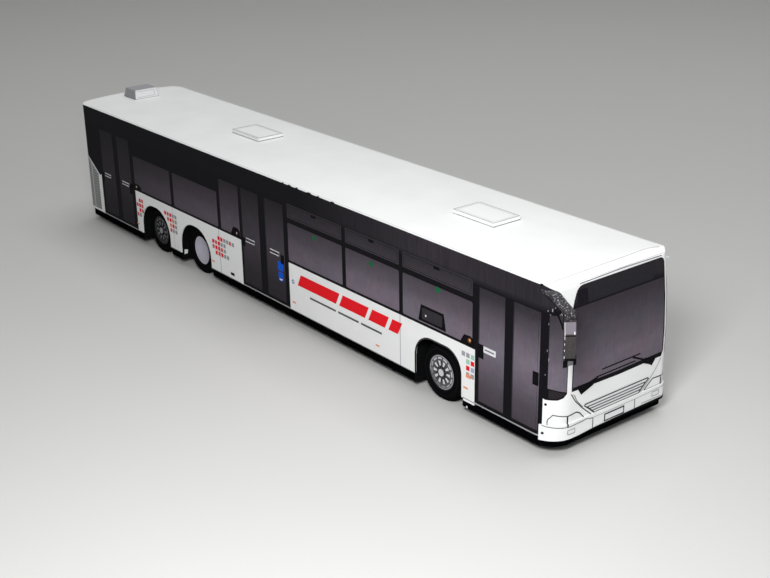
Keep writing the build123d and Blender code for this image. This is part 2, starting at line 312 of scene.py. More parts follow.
def tail(s, z, lift):
    """Place on the tail, s along the card from the middle line."""
    hand = np.where(s < 0, -1, 1)
    return around(half_way(hand) - np.abs(s), hand, z, lift)


def side_of(hand):
    """The surface of the right side, -1, or the left, 1, with places along the bus."""
    front = side_start(hand) + LENGTH - bend_of(hand)

    def side(along, z, lift):
        return around(front - along, hand + 0 * along, z, lift)
    return side


def roof(along, y, lift):
    """Place on the roof: an arc across the bus, and a plane that falls forward from the lip's fold."""
    x = TAIL_X + along
    vault = CROWN_Z - CAMBER + np.sqrt(CAMBER**2 - y**2)
    slope = math.tan(math.radians(LIP_SLOPE))
    lip = CROWN_Z - slope * (along - LIP_FOLD)
    return x, y, np.minimum(vault, lip) + lift


def flat_top(z_top):
    """A level surface at a height, for a hatch's lid."""
    def lid(x, y, lift):
        return x, y, z_top + lift + 0 * x
    return lid


def quad_surface(corners):
    """A surface bilinear between four corners, s across from 0 to 1 and t up from 0 to 1."""
    foot_left, foot_right, top_right, top_left = (np.array(corner, float) for corner in corners)
    normal = np.cross(foot_right - foot_left, top_left - foot_left)
    normal = normal / np.linalg.norm(normal)

    def panel(s, t, lift):
        s = s[..., None]
        t = t[..., None]
        foot = foot_left * (1 - s) + foot_right * s
        top = top_left * (1 - s) + top_right * s
        place = foot * (1 - t) + top * t + normal * lift
        return place[..., 0], place[..., 1], place[..., 2]
    return panel


def box_mm(name):
    """A node's lowest and highest corners, in millimetres."""
    low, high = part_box(name)
    return low / MM, high / MM


def wheel_face(name, hand, inset):
    """The outer face of a wheel, s ahead of its centre and z above it; inset lies inside the box."""
    low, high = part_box(name)
    centre = (low + high) / 2 / MM
    reach = max(abs(low.y), abs(high.y)) / MM - inset

    def face(s, z, lift):
        return centre.x + s, hand * (reach + lift) + 0 * s, centre.z + z
    return face


def arch_rim(hand):
    """The inside of the front arch: s along its outline from the rear foot, t into the bus.

    The outline is straight up, a quarter circle, straight, a quarter circle and straight down. It
    gives the surface, its length, and the paths of a dark and a light line just inside the opening.
    """
    turn = np.linspace(0, math.pi / 2, 13)
    rear = np.stack([ARCH_REAR + ARCH_REAR_TURN * (1 - np.cos(turn)),
                     ARCH_TOP - ARCH_REAR_TURN * (1 - np.sin(turn))], axis=-1)
    front = np.stack([ARCH_FRONT - ARCH_FRONT_TURN * (1 - np.sin(turn)),
                      ARCH_TOP - ARCH_FRONT_TURN * (1 - np.cos(turn))], axis=-1)
    path = np.vstack([[(ARCH_REAR, PANEL_FOOT_Z)], rear, front, [(ARCH_FRONT, PANEL_FOOT_Z)]])
    marks = distances(path)
    heading = headings(path)[1]
    inward = np.stack([heading[:, 1], -heading[:, 0]], axis=-1)

    crest = slice(4, 22)
    outline, light = ([tuple(place) for place in (path + inset * inward)[crest]]
                      for inset in (0.13, 0.2))

    def rim(s, t, lift):
        along, z = (np.interp(s, marks, path[:, axis]) + lift * np.interp(s, marks, inward[:, axis])
                    for axis in (0, 1))
        return TAIL_X + along, hand * (HALF - t) + 0 * s, z
    return rim, marks[-1], outline, light


# Prints

def linked(name, data):
    """A new object in the scene."""
    made = bpy.data.objects.new(name, data)
    bpy.context.scene.collection.objects.link(made)
    return made


def grid_quads(rows, columns, first=0):
    """The corners of each cell of a grid of points that are numbered from first, row by row."""
    index = np.arange(rows * columns).reshape(rows, columns) + first
    return np.stack([index[:-1, :-1], index[1:, :-1], index[1:, 1:], index[:-1, 1:]], axis=-1)


def distances(path):
    """The distance of each corner of a path from its start, along it."""
    return np.concatenate([[0], np.cumsum(np.linalg.norm(np.diff(path, axis=0), axis=1))])


def headings(path):
    """The heading after each corner of a path, and the mean of the two that meet there."""
    runs = np.diff(path, axis=0)
    runs = runs / np.linalg.norm(runs, axis=1)[:, None]
    after = np.vstack([runs, runs[-1:]])
    mean = np.vstack([runs[:1], runs]) + after
    return after, mean / np.linalg.norm(mean, axis=1)[:, None]


def height_of(edge, s):
    """An edge's height at s: a number, or the corners of a bent edge joined by straight lines."""
    if np.ndim(edge) == 0:
        return np.full_like(s, edge)
    corners = np.array(edge, float)
    return np.interp(s, corners[:, 0], corners[:, 1])


class Print:
    """One layer of print on one surface: patches gathered into one thin closed piece."""

    def __init__(self, surface, lift, step=SIDE_STEP):
        self.surface = surface
        self.lift = lift
        self.step = step
        self.layer = 0
        self.points = []
        self.quads = []
        self.colours = []
        self.total = 0

    def on(self, layer):
        """Chooses the layer of the patches that follow, each a little over the last."""
        self.layer = layer
        return self

    def patch(self, s, z, colour):
        """Adds the grid of points surface(s, z), turned so that its faces look outward."""
        lift = self.lift + self.layer * LAYER
        grid, above = (np.stack(np.broadcast_arrays(*self.surface(s, z, height)), axis=-1)
                       for height in (lift, lift + 1))
        facing = np.cross(grid[1:, :-1] - grid[:-1, :-1], grid[:-1, 1:] - grid[:-1, :-1])
        if np.sum(facing * (above - grid)[:-1, :-1]) < 0:
            grid = grid[::-1]
        spread = np.cross(grid[1:, 1:] - grid[:-1, :-1], grid[:-1, 1:] - grid[1:, :-1])
        solid = np.linalg.norm(spread, axis=-1) > LEAST_AREA
        rows, columns = grid.shape[:2]
        self.quads.append(grid_quads(rows, columns, self.total)[solid])
        self.points.append(grid.reshape(-1, 3))
        self.colours.append(np.tile((*colour, 1.0), (rows * columns, 1)))
        self.total += rows * columns

    def area(self, start, end, low, high, colour=BLACK):
        """Fills from start to end between two edges, z = low(s) + t (high(s) - low(s))."""
        corners = [place for edge in (low, high) if np.ndim(edge) for place, _ in edge]
        count = max(2, math.ceil((end - start) / self.step) + 1)
        s = np.clip([*np.linspace(start, end, count), *corners], start, end)
        s = np.unique(np.round(s, 5))
        foot = height_of(low, s)
        top = height_of(high, s)
        rows = max(2, math.ceil(np.max(top - foot) / self.step) + 1)
        t = np.linspace(0, 1, rows)
        z = foot[:, None] + t * (top - foot)[:, None]
        self.patch(np.repeat(s[:, None], rows, axis=1), z, colour)

    def pane(self, start, end, low, high, radius, colour=BLACK):
        """An area with rounded corners: near each end its edges follow quarter circles."""
        turn = np.linspace(0, math.pi / 2, 5)
        near = start + radius * (1 - np.cos(turn))
        far = end - radius * (1 - np.cos(turn[::-1]))
        rise = radius * (1 - np.sin(turn))
        places = [*near, *far]
        drop = [*rise, *rise[::-1]]
        foot = [(place, low + fall) for place, fall in zip(places, drop)]
        top = [(place, high - fall) for place, fall in zip(places, drop)]
        self.area(start, end, foot, top, colour)

    def line(self, path, width, colour=BLACK):
        """A ribbon of one width along a path: each point moved half the width to both sides."""
        corners = np.array(path, float)
        marks = distances(corners)
        count = max(2, math.ceil(marks[-1] / self.step) + 1)
        places = np.unique(np.round(np.concatenate([marks, np.linspace(0, marks[-1], count)]), 5))
        s = np.interp(places, marks, corners[:, 0])
        z = np.interp(places, marks, corners[:, 1])
        after, mean = headings(np.stack([s, z], axis=-1))
        reach = width / 2 / np.maximum(np.sum(mean * after, axis=1), 0.5)
        across = -mean[:, 1] * reach
        up = mean[:, 0] * reach
        self.patch(np.stack([s - across, s + across], axis=1), np.stack([z - up, z + up], axis=1),
                   colour)

    def level(self, start, end, z, width, colour=BLACK):
        """A level line from start to end."""
        self.line([(start, z), (end, z)], width, colour)

    def upright(self, s, low, high, width, colour=BLACK):
        """An upright line from low to high."""
        self.line([(s, low), (s, high)], width, colour)

    def frame(self, start, end, low, high, width, colour=BLACK):
        """A rectangle's outline in four strips."""
        self.level(start, end, low, width, colour)
        self.level(start, end, high, width, colour)
        self.upright(start, low + width / 2, high - width / 2, width, colour)
        self.upright(end, low + width / 2, high - width / 2, width, colour)

    def ring(self, s, z, inner, outer, colour=BLACK, sides=32, arc=(0, 2 * math.pi)):
        """An annulus or a part of one: radius runs from inner to outer and the angle over its arc."""
        angle, radius = np.meshgrid(np.linspace(*arc, sides + 1), (inner, outer), indexing="ij")
        self.patch(s + radius * np.cos(angle), z + radius * np.sin(angle), colour)

    def dot(self, s, z, radius, colour=BLACK, tall=1.0, sides=7):
        """A disc without a pole: a square grid pressed to a circle, u sqrt(1 - v2/2), v sqrt(1 - u2/2)."""
        reach = np.linspace(-1, 1, sides)
        u, v = np.meshgrid(reach, reach, indexing="ij")
        self.patch(s + radius * u * np.sqrt(1 - v**2 / 2),
                   z + tall * radius * v * np.sqrt(1 - u**2 / 2), colour)

    def finish(self, name, slot, material="colour_print", body="bus", thickness=0.012):
        """Makes the mesh, merges the points that meet and gives it a thickness under the print."""
        points = np.vstack(self.points)
        cells = np.round(points / MERGE_CELL).astype(np.int64)
        _, first, merged = np.unique(cells, axis=0, return_index=True, return_inverse=True)
        quads = merged.reshape(-1)[np.vstack(self.quads)]
        mesh = bpy.data.meshes.new(name)
        mesh.from_pydata(points[first] * MM, [], quads)
        ink = mesh.color_attributes.new("ink", "FLOAT_COLOR", "POINT")
        ink.data.foreach_set("color", np.vstack(self.colours)[first].ravel())
        mesh.materials.append(bpy.data.materials[material])
        piece = linked(name, mesh)
        solid = piece.modifiers.new("Thickness", "SOLIDIFY")
        solid.thickness = thickness * MM
        solid.offset = -1
        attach(piece, body)


def layers(surface, step):
    """The three prints of one sheet: its ink, its glass and its marks, each over the last."""
    return [Print(surface, lift, step) for lift in (INK_LIFT, GLASS_LIFT, MARK_LIFT)]


def finish_layers(prints, sheet, end="", material="glass_print"):
    """Makes the three pieces of one sheet."""
    for made, kind, used in zip(prints, ("ink", "glass", "marks"),
                                ("black_print_and_sheen", material, "colour_print")):
        made.finish(f"{sheet}_{kind}{end}", sheet + "_card", used)


def panel(corners, step=PANEL_STEP, lift=INK_LIFT):
    """A print on the flat panel between four corners."""
    return Print(quad_surface(corners), lift, step)


# Materials

# Each printed glass: its tone, and its brightness by height from the door's foot to the roof
GLASSES = (
    ("glass_print", 1.0, [(0.0, 0.5), (0.40, 1.0), (0.45, 1.0), (0.52, 0.86), (0.60, 0.56),
                          (0.68, 0.40), (0.75, 0.26), (0.80, 0.17), (0.86, 0.11)]),
    ("door_glass", 1.0, [(0.0, 0.28), (0.15, 0.40), (0.35, 0.82), (0.45, 0.98), (0.60, 0.66),
                         (0.71, 0.34), (0.785, 0.15), (0.86, 0.09), (1.0, 0.07)]),
    # The rear and middle doors' glass: the door glass made darker, painted shade
    ("shaded_glass", 0.44, [(0.0, 0.28), (0.15, 0.40), (0.35, 0.82), (0.45, 0.98), (0.60, 0.68),
                            (0.71, 0.40), (0.785, 0.2), (0.86, 0.09), (1.0, 0.07)]),
    ("screen_glass", 0.86, [(0.0, 0.5), (0.30, 1.0), (0.40, 1.0), (0.45, 0.98), (0.52, 0.74),
                            (0.60, 0.60), (0.71, 0.37), (0.785, 0.24), (0.86, 0.16)]),
)

# Painted shade and sheen of every printed glass: its brightness along the bus, from the tail to the nose
GLASS_SHEEN_ALONG = [(0.0, 0.20), (0.16, 0.30), (0.36, 0.60), (0.60, 0.77), (0.70, 1.0), (0.80, 1.0)]


def scaled(colour, factor):
    """A colour made darker or lighter."""
    return tuple(channel * factor for channel in colour)


class Finish:
    """One material's nodes round a principled shader."""

    def __init__(self, name, roughness, specular=0.4):
        self.material = bpy.data.materials.new(name)
        self.material.use_nodes = True
        self.tree = self.material.node_tree
        self.shader = self.tree.nodes["Principled BSDF"]
        self.shader.inputs["Roughness"].default_value = roughness
        self.shader.inputs["Specular IOR Level"].default_value = specular
        self.place = self.add("TexCoord").outputs["Object"]

    def add(self, kind, inputs=None, **settings):
        """A node with its settings and sockets, linked where a value is another node's socket."""
        made = self.tree.nodes.new("ShaderNode" + kind)
        for key, value in settings.items():
            setattr(made, key, value)
        for key, value in (inputs or {}).items():
            if isinstance(value, bpy.types.NodeSocket):
                self.tree.links.new(value, made.inputs[key])
            else:
                made.inputs[key].default_value = value
        return made

    def noise(self, size, detail=2.0, stretch=(1, 1, 1)):
        """Noise from 0 to 1 with features about this size, drawn out where stretch is small."""
        mapped = self.add("Mapping", {"Vector": self.place, "Scale": stretch}).outputs[0]
        return self.add("TexNoise", {"Vector": mapped, "Scale": 1 / size, "Detail": detail}).outputs[0]

    def math(self, operation, a, b=0.0, c=0.0):
        """One sum on numbers or sockets."""
        return self.add("Math", {0: a, 1: b, 2: c}, operation=operation).outputs[0]

    def spread(self, value, low, high, new_low=0.0, new_high=1.0):
        """Maps a range to another, and holds its ends."""
        return self.add("MapRange", {"Value": value, "From Min": low, "From Max": high,
                                     "To Min": new_low, "To Max": new_high}).outputs[0]

    def mix(self, share, a, b):
        """Two colours mixed by a share."""
        a, b = (value if isinstance(value, bpy.types.NodeSocket) else (*value, 1.0)[:4]
                for value in (a, b))
        return self.add("Mix", {0: share, 6: a, 7: b}, data_type="RGBA").outputs[2]

    def fade(self, value, low, high, a, b, most=1.0):
        """Mixes from one colour to another as a value goes from low to high, up to a share."""
        return self.mix(self.spread(value, low, high, 0.0, most), a, b)

    def ramp(self, value, stops):
        """A grey curve through (place, brightness) stops."""
        made = self.add("ValToRGB", {"Fac": value})
        elements = made.color_ramp.elements
        while len(elements) < len(stops):
            elements.new(0.5)
        for element, (place, brightness) in zip(elements, stops):
            element.position = place
            element.color = (brightness, brightness, brightness, 1)
        return made.outputs[0]

    def axis(self, name):
        """The place along x, y or z, in metres."""
        return self.add("SeparateXYZ", {0: self.place}).outputs[name]

    def bump(self, height, strength, depth):
        """Bumps the surface by a height."""
        made = self.add("Bump", {"Height": height, "Strength": strength, "Distance": depth})
        self.tree.links.new(made.outputs[0], self.shader.inputs["Normal"])

    def grain(self):
        """Card's surface: fine fibres over slow waves, as a bump, and fibres in the gloss."""
        card = bpy.context.scene.bus_card
        fibres = self.noise(card.fibre, 3.0)
        height = self.math("MULTIPLY_ADD", self.noise(9 * MM, 1.0), 6.0, fibres)
        self.bump(height, 0.6, card.grain_height)
        rough = self.shader.inputs["Roughness"]
        middle = rough.default_value
        self.tree.links.new(self.spread(fibres, 0.3, 0.7, middle - 0.07, middle + 0.07), rough)
        return fibres

    def made(self, colour):
        """Links the base colour and gives the finished material."""
        self.tree.links.new(colour, self.shader.inputs["Base Color"])
        return self.material


def plain_card(name, colour, roughness=0.7, cloud=0.02, specks=0.2, specular=0.15):
    """Card in one printed or bare colour: soft clouds, fibres and a few darker specks."""
    finish = Finish(name, roughness, specular)
    fibres = finish.grain()
    base = finish.fade(finish.noise(11 * MM, 3.0), 0.35, 0.7, colour, scaled(colour, 1 - 2.2 * cloud))
    return finish.made(finish.fade(fibres, 0.62, 0.8, base, scaled(colour, 0.72), specks))


def black_ink(name, colour, roughness=0.7, specular=0.05, flecks=0.0):
    """Solid black print: a little paler where the fibres show, and with pale flecks where flecks is given.
    """
    finish = Finish(name, roughness, specular)
    red, green, blue = colour
    base = finish.fade(finish.grain(), 0.45, 0.8, colour, scaled(colour, 1.9))
    base = finish.fade(finish.noise(7 * MM, 3.0), 0.4, 0.75, base,
                       (red * 1.2, green * 1.6, blue * 1.3), 0.55)
    if flecks:
        base = finish.fade(finish.noise(0.28 * MM, 1.0), 0.60, 0.68, base, (0.40, 0.39, 0.42), flecks)
    return finish.made(base)


def band_ink_and_sheen(name):
    """The band's black: solid at the windows, and a painted sheen over them, greyest ahead of the middle."""
    black = bpy.context.scene.bus_card.black
    finish = Finish(name, 0.7, 0.06)
    fibres = finish.grain()
    along = finish.axis("X")
    # Painted sheen: the black turns grey over the windows from the middle forward, a little less near the
    # nose
    grey = finish.fade(along, (TAIL_X + 100) * MM, (TAIL_X + 138) * MM,
                       (0.0058, 0.0059, 0.0075), (0.034, 0.029, 0.036))
    grey = finish.fade(along, (TAIL_X + 142) * MM, (TAIL_X + 166) * MM, grey, black, 0.32)
    base = finish.fade(finish.axis("Z"), 26.6 * MM, 27.9 * MM, black, grey)
    base = finish.fade(fibres, 0.5, 0.8, base, (0.026, 0.023, 0.029), 0.3)
    streaks = finish.noise(0.5 * MM, 2.0, (1, 1, 0.08))
    return finish.made(finish.fade(streaks, 0.35, 0.75, base, (0.006, 0.005, 0.008), 0.35))


def printed_glass(name, tone, profile_stops):
    """Glass as print: lightest at the belt by its profile, streaked upright and clouded purple."""
    card = bpy.context.scene.bus_card
    finish = Finish(name, 0.6, 0.06)
    fibres = finish.grain()
    profile = finish.ramp(finish.spread(finish.axis("Z"), 4 * MM, 31 * MM), profile_stops)
    # Painted shade and sheen: the glass darkens towards the tail
    rear = finish.ramp(finish.spread(finish.axis("X"), TAIL_X * MM, FACE_X * MM), GLASS_SHEEN_ALONG)
    streaks = finish.spread(finish.noise(0.32 * MM, 3.0, (1, 1, 0.10)), 0.3, 0.7, 0.93, 1.07)
    blots = finish.spread(finish.noise(1.4 * MM, 4.0), 0.3, 0.7, 0.93, 1.07)
    share = finish.math("MULTIPLY", finish.math("MULTIPLY", profile, rear),
                        finish.math("MULTIPLY", streaks, blots))
    red, green, blue = card.glass_light
    hue = finish.fade(finish.noise(6 * MM, 2.0), 0.35, 0.70, card.glass_light,
                      (red * 0.90, green * 1.02, blue))
    base = finish.mix(finish.math("MULTIPLY", share, tone), card.glass_dark, hue)
    return finish.made(finish.fade(fibres, 0.60, 0.82, base, (0.20, 0.18, 0.21), 0.25))


def colour_ink(name):
    """Print whose colour is the piece's own ink attribute, broken a little by the fibres."""
    finish = Finish(name, 0.7, 0.03)
    fibres = finish.grain()
    ink = finish.add("Attribute", attribute_name="ink").outputs["Color"]
    worn = finish.mix(0.72, (0.5, 0.5, 0.5), ink)
    return finish.made(finish.fade(fibres, 0.60, 0.85, ink, worn, 0.3))


def steel_wire():
    """Drawn steel: fine scratches round the wire."""
    finish = Finish("steel_wire", 0.32)
    finish.shader.inputs["Metallic"].default_value = 1.0
    scratches = finish.noise(0.08 * MM, 2.0, (1, 0.1, 1))
    finish.bump(scratches, 0.3, 0.004 * MM)
    return finish.made(finish.mix(scratches, (0.42, 0.42, 0.43), (0.6, 0.6, 0.61)))


# The side print

def door(ink, glass, marks, edges, side):
    """A two-leaf door: black frame, two glass leaves and a pale sill line."""
    start, leaf_start, leaf_end, next_start, next_end, end = edges
    end = min(end, SEAM_FRONT)
    ink.area(start, end, side.door_foot, side.belt)
    for low, high in ((leaf_start, leaf_end), (next_start, next_end)):
        glass.area(low, high, side.leaf_foot, side.leaf_top)
        marks.upright(low + 0.12, side.leaf_foot, side.leaf_top, FINE, SOFT_BLACK)
    marks.level(start, end, side.door_foot - 0.12, 0.14, LIGHT_GREY)


def label(marks, start, end, low, high):
    """A blank strip: two thin white lines and a short one between them."""
    marks.level(start, end - 0.2, low + 0.15, 0.2, PALE)
    marks.level(start + 0.1, end, high - 0.15, 0.22, PALE)
    marks.upright(end - 0.1, low + 0.25, high - 0.28, 0.16, LIGHT_GREY)


def hopper(marks, start, end, side):
    """A hinged upper pane: its faint outlines, one in another, and a small dark catch."""
    low = side.hopper_foot + 0.1
    high = side.hopper_top
    marks.on(0)
    for inset, rise, width, colour in ((0.2, 0, HAIR, (0.050, 0.045, 0.053)),
                                       (0.42, 0.22, 0.14, SOFT_BLACK),
                                       (0.8, 0.6, 0.08, (0.036, 0.032, 0.039))):
        marks.frame(start + inset, end - inset, low + rise, high - rise, width, colour)
    catch = (start + end) / 2 - 0.8
    marks.on(1).area(catch, catch + 1.6, high - 0.8, high - 0.3)
    marks.on(0)


def windows(glass, marks, plain, tall, hoppers, side):
    """Plain panes, tall ones that reach the doors' top, and panes with a hinged one over them."""
    for start, end in (*plain, *hoppers):
        glass.pane(start, end, side.pane_foot, side.pane_top, PANE_CORNER)
    for start, end in tall:
        glass.pane(start, end, side.pane_foot, side.leaf_top, PANE_CORNER)
    for start, end in hoppers:
        glass.pane(start, end, side.hopper_foot, side.hopper_top, HOPPER_CORNER)
        hopper(marks, start, end, side)


def lamp(marks, start, end, low, high, spot, lens=(0.05, 0.012, 0.008), painted_glint=(0.55, 0.50, 0.48)):
    """A low trapezoid lamp housing with a dark lens, and a painted highlight on the lens at a spot."""
    long = end - start
    place, middle = spot
    marks.on(0).area(start, end, low, [(start, low + 0.6), (start + 0.25 * long, high - 0.1),
                                       (start + 0.75 * long, high), (end, high - 0.6)])
    marks.on(1).dot(place - 0.1, middle - 0.1, 0.5, lens)
    # Painted highlight on the lens
    marks.on(2).dot(place, middle, 0.22, painted_glint, 1.2)
    marks.on(0)


def grille(marks, start, end, top):
    """An engine grille in print: a grey-green field of level slats, each dark with a pale edge."""
    marks.on(0).area(start, end, GRILLE_FOOT_Z, top, (0.31, 0.33, 0.32))
    peak = max(height for _, height in top)
    for low in np.arange(GRILLE_FOOT_Z + 0.35, peak - 0.2, SLAT_PITCH):
        places = np.linspace(start + 0.1, end - 0.1, 25)
        inside = places[height_of(top, places) > low + 0.2]
        if len(inside) > 1:
            marks.on(1).level(inside[0], inside[-1], low, 0.2, (0.15, 0.16, 0.155))
            marks.level(inside[0], inside[-1], low + 0.2, FINE, (0.50, 0.52, 0.52))
    marks.on(0)


def seams(marks, places, foot, top, width=HAIR, colour=LIGHT_GREY):
    """Thin upright seams."""
    for place in places:
        marks.upright(place, foot, top, width, colour)


def reflectors(marks, places):
    """Small level reflectors, each round its place."""
    reach = REFLECTOR_LONG / 2
    rise = REFLECTOR_HIGH / 2
    for along, z in places:
        marks.area(along - reach, along + reach, z - rise, z + rise, PEACH)


def mosaic(marks, corner, rows):
    """Rows of small squares: each row is its start column and the squares' colours."""
    for row, (first, colours) in enumerate(rows):
        for column, colour in enumerate(colours, first):
            s = corner[0] + column * SQUARE_PITCH[0]
            z = corner[1] - row * SQUARE_PITCH[1]
            marks.area(s, s + SQUARE, z - SQUARE, z, colour)


def stripe_bars(marks, start, low, high, bars):
    """Slanted bars of one height, each drawn as a filled strip whose ends lean forward."""
    steps = np.linspace(0, 1, 3)
    z = low + (high - low) * steps
    for long, gap in bars:
        left = start + BAR_LEAN * steps
        marks.patch(np.stack([left, left + long]), np.stack([z, z]), RED)
        start += long + gap


def right_print(side):
    """The right side's print, in three layers."""
    ink, glass, marks = layers(side_of(-1), SIDE_STEP)
    shaded = Print(side_of(-1), GLASS_LIFT)
    fronted = Print(side_of(-1), GLASS_LIFT)
    ink.area(SEAM_REAR, SEAM_FRONT, [(SEAM_REAR, 16.9), (8.1, 13.8), (8.8, side.belt),
                                     (SEAM_FRONT, side.belt)], BAND_TOP_Z)
    # The rear and middle doors take the darker shaded glass, painted shade; the front door takes the lighter
    # one
    for edges, leaves in ((REAR_DOOR, shaded), (MIDDLE_DOOR, shaded), (FRONT_DOOR, fronted)):
        door(ink, leaves, marks, edges, side)
    shaded.finish("rear_door_glass", "side_card", "shaded_glass")
    fronted.finish("front_door_glass", "side_card", "door_glass")
    windows(glass, marks, PLAIN_WINDOWS, (TALL_WINDOW,), HOPPER_WINDOWS, side)
    # Lamps over the belt and the box printed in the front window
    lamp(marks, 24.9, 30.3, side.belt + 0.3, 16.0, (28.1, 15.25))
    lamp(marks, 72.0, 75.6, side.belt + 0.1, 16.6, (74.4, 15.35))
    # The front lamp's lens and highlight are painted lighter and orange: painted light
    lamp(marks, 149.0, 152.5, side.belt + 0.2, 16.4, (151.4, 15.6), (0.12, 0.045, 0.01),
         (0.85, 0.42, 0.15))
    marks.area(137.2, 144.9, 15.0, [(137.2, 15.3), (137.9, 18.3), (144.3, 18.3), (144.9, 15.3)])
    marks.on(1).pane(138.2, 143.9, 15.5, 17.8, 0.3, (0.034, 0.030, 0.036))
    marks.on(2).dot(139.3, 16.4, 0.22, PALE)
    marks.on(0)
    for s, z in ((104.3, 22.2), (123.0, 22.0), (142.7, 22.6)):
        marks.dot(s, z, 0.7, GREEN, 0.8)
    # Doors' labels and handle pads
    for edges in ((11.0, 14.4, 14.2, 15.2), (20.4, 24.1, 14.2, 15.2), (78.0, 81.6, 14.3, 15.4),
                  (87.5, 91.1, 14.4, 15.5)):
        label(marks, *edges)
    marks.area(154.9, 158.1, 14.5, 15.7, PALE)
    marks.on(1).level(155.3, 157.7, 15.1, 0.22, GREY)
    marks.on(0)
    for edges in ((9.1, 10.5, 12.6, 15.1), (24.3, 25.6, 12.6, 15.1), (76.4, 77.7, 13.1, 15.1),
                  (91.6, 92.8, 13.1, 15.1), (153.6, 155.0, 13.1, 15.8), (167.2, 168.5, 12.9, 15.4)):
        marks.area(*edges)
    # Blank blue signs and the small round mark
    marks.pane(90.4, 92.4, 11.3, 13.4, PANE_CORNER, BLUE)
    marks.pane(90.5, 92.3, 9.0, 11.0, PANE_CORNER, BLUE)
    marks.on(1).line([(90.9, 9.4), (91.4, 9.2), (91.9, 9.5)], 0.3, PALE)
    marks.on(0).ring(95.9, 10.2, 0.24, 0.5, (0.16, 0.27, 0.40), 20)
    # Engine grille behind the rear door: a slanting top, a right edge and level slats
    grille(marks, SEAM_REAR, 7.1, [(SEAM_REAR, 16.3), (7.1, 13.9)])
    marks.line([(SEAM_REAR, 16.75), (8.1, 13.65)], 0.2, PALE)
    # A pale strip at the rear seam: the painted highlight of the tail's corner
    marks.on(2).area(SEAM_REAR, SEAM_REAR + 0.35, GRILLE_FOOT_Z, 16.3, (0.62, 0.61, 0.66))
    # Thin seams, flaps and reflectors on the white
    seams(marks.on(0), (131.7, 66.6), PANEL_FOOT_Z, side.belt)
    seams(marks, (45.5,), PANEL_FOOT_Z, side.belt, 0.08, (0.50, 0.50, 0.52))
    for start, end in ((27.2, 29.2), (43.4, 47.9), (62.4, 74.9), (94.6, 135.8)):
        marks.level(start, end, FOOT_LINE_Z, 0.16, SEAM_GREY)
    marks.level(149.6, 152.7, FOOT_LINE_Z, 0.14, (0.20, 0.20, 0.22))
    sill = Print(side_of(-1), 0.01)
    sill.area(149.7, 152.6, PANEL_FOOT_Z - 0.45, PANEL_FOOT_Z + 0.06, WHITE)
    sill.finish("sill_strip_right", "side_card", "white_card", thickness=0.28)
    marks.area(70.75, 72.3, 4.4, 5.05)
    skirt_mark = Print(side_of(-1), 0.03 - CARD)
    skirt_mark.dot(150.4, 1.8, 0.25, PALE)
    skirt_mark.finish("skirt_mark_right", "skirt_card")
    reflectors(marks, ((27.3, 5.5), (63.3, 5.6), (96.0, 5.5), (124.6, 5.3), (150.4, 5.8)))
    # Squares round the rear doors and the front one
    grey = SQUARE_GREY
    mosaic(marks, (28.6, 12.4), ((0, (RED, PINK)), (-1, (PINK, RED, PINK)), (0, (RED, PINK)),
                                 (-1, (PINK, grey))))
    mosaic(marks, (42.6, 12.4), ((-1, (RED, PINK, RED, grey, grey)), (0, (PINK, RED, PEACH, grey)),
                                 (1, (PEACH, RED, grey)), (1, (PINK, grey, grey))))
    mosaic(marks, (64.6, 12.4), ((1, (RED, RED, grey, grey, PINK, grey)),
                                 (-1, (RED, PINK, RED, grey, grey)),
                                 (-1, (PINK, RED, RED, PINK, grey)),
                                 (0, (RED, PINK, RED, grey, grey))))
    mosaic(marks, (149.25, 12.9), ((0, (grey, grey, MINT)), (1, (MINT, RED)),
                                   (1, (RED, (0.36, 0.40, 0.62))), (1, ((0.42, 0.36, 0.28), grey))))
    marks.on(1).area(150.45, 151.8, 8.0, 8.7, PEACH)
    # A plain slanted stripe and bars along the middle of the side
    stripe_bars(marks.on(0), 97.6, 9.9, 12.5, ((13.5, 1.1), (8.5, 1.1), (5.2, 1.1), (2.9, 0)))
    for start, end in ((102.0, 111.0), (111.8, 118.6), (119.4, 126.0)):
        marks.level(start, end, 8.3, 0.42, GREY)
    finish_layers((ink, glass, marks), "side", "_right")


def left_print(side):
    """The left side's print: windows all along, the driver's window and an engine grille."""
    ink, glass, marks = layers(side_of(1), SIDE_STEP)
    ink.area(SEAM_REAR, SEAM_FRONT, side.belt, BAND_TOP_Z)
    windows(glass, marks, LEFT_PLAIN_WINDOWS, (LEFT_DRIVER_WINDOW, LEFT_CAB_WINDOW),
            LEFT_HOPPER_WINDOWS, side)
    marks.upright(sum(LEFT_DRIVER_WINDOW) / 2, side.pane_foot, side.leaf_top, 0.25)
    marks.level(SEAM_REAR, 28.9, FOOT_LINE_Z, 0.16, SEAM_GREY)
    for start, end in ((25.9, 30.0), (71.6, 75.1), (148.9, 152.5)):
        lamp(marks, start, end, side.belt + 0.3, 16.4, (start + 2.6, 15.35))
    # Flaps of the engine bay and the seams of the white panel
    grille(marks, 9.5, 24.5, [(9.5, 12.9), (24.5, 12.9)])
    seams(marks, (8.2, 66.6, 99.0, 131.7, 160.0), PANEL_FOOT_Z, side.belt)
    marks.frame(103.0, 112.0, 4.6, 12.8, HAIR, LIGHT_GREY)
    marks.frame(74.0, 80.0, 4.6, 10.2, HAIR, LIGHT_GREY)
    reflectors(marks, ((27.3, 5.5), (63.3, 5.6), (96.0, 5.5), (124.6, 5.3), (152.4, 5.8)))
    finish_layers((ink, glass, marks), "side", "_left")


def drive_scrap():
    """A scrap of white card at the foot of the right drive arch's rear wall."""
    wall = TAIL_X + DRIVE_ARCH_REAR
    scrap = panel(((wall, -13.9, 2.9), (wall, -13.0, 3.0), (wall, -12.9, 3.9), (wall, -13.8, 4.1)),
                  0.5, 0.06)
    scrap.area(0.0, 1.0, 0.0, 1.0, WHITE)
    scrap.finish("drive_arch_scrap", "well_card", "white_card", thickness=0.05)


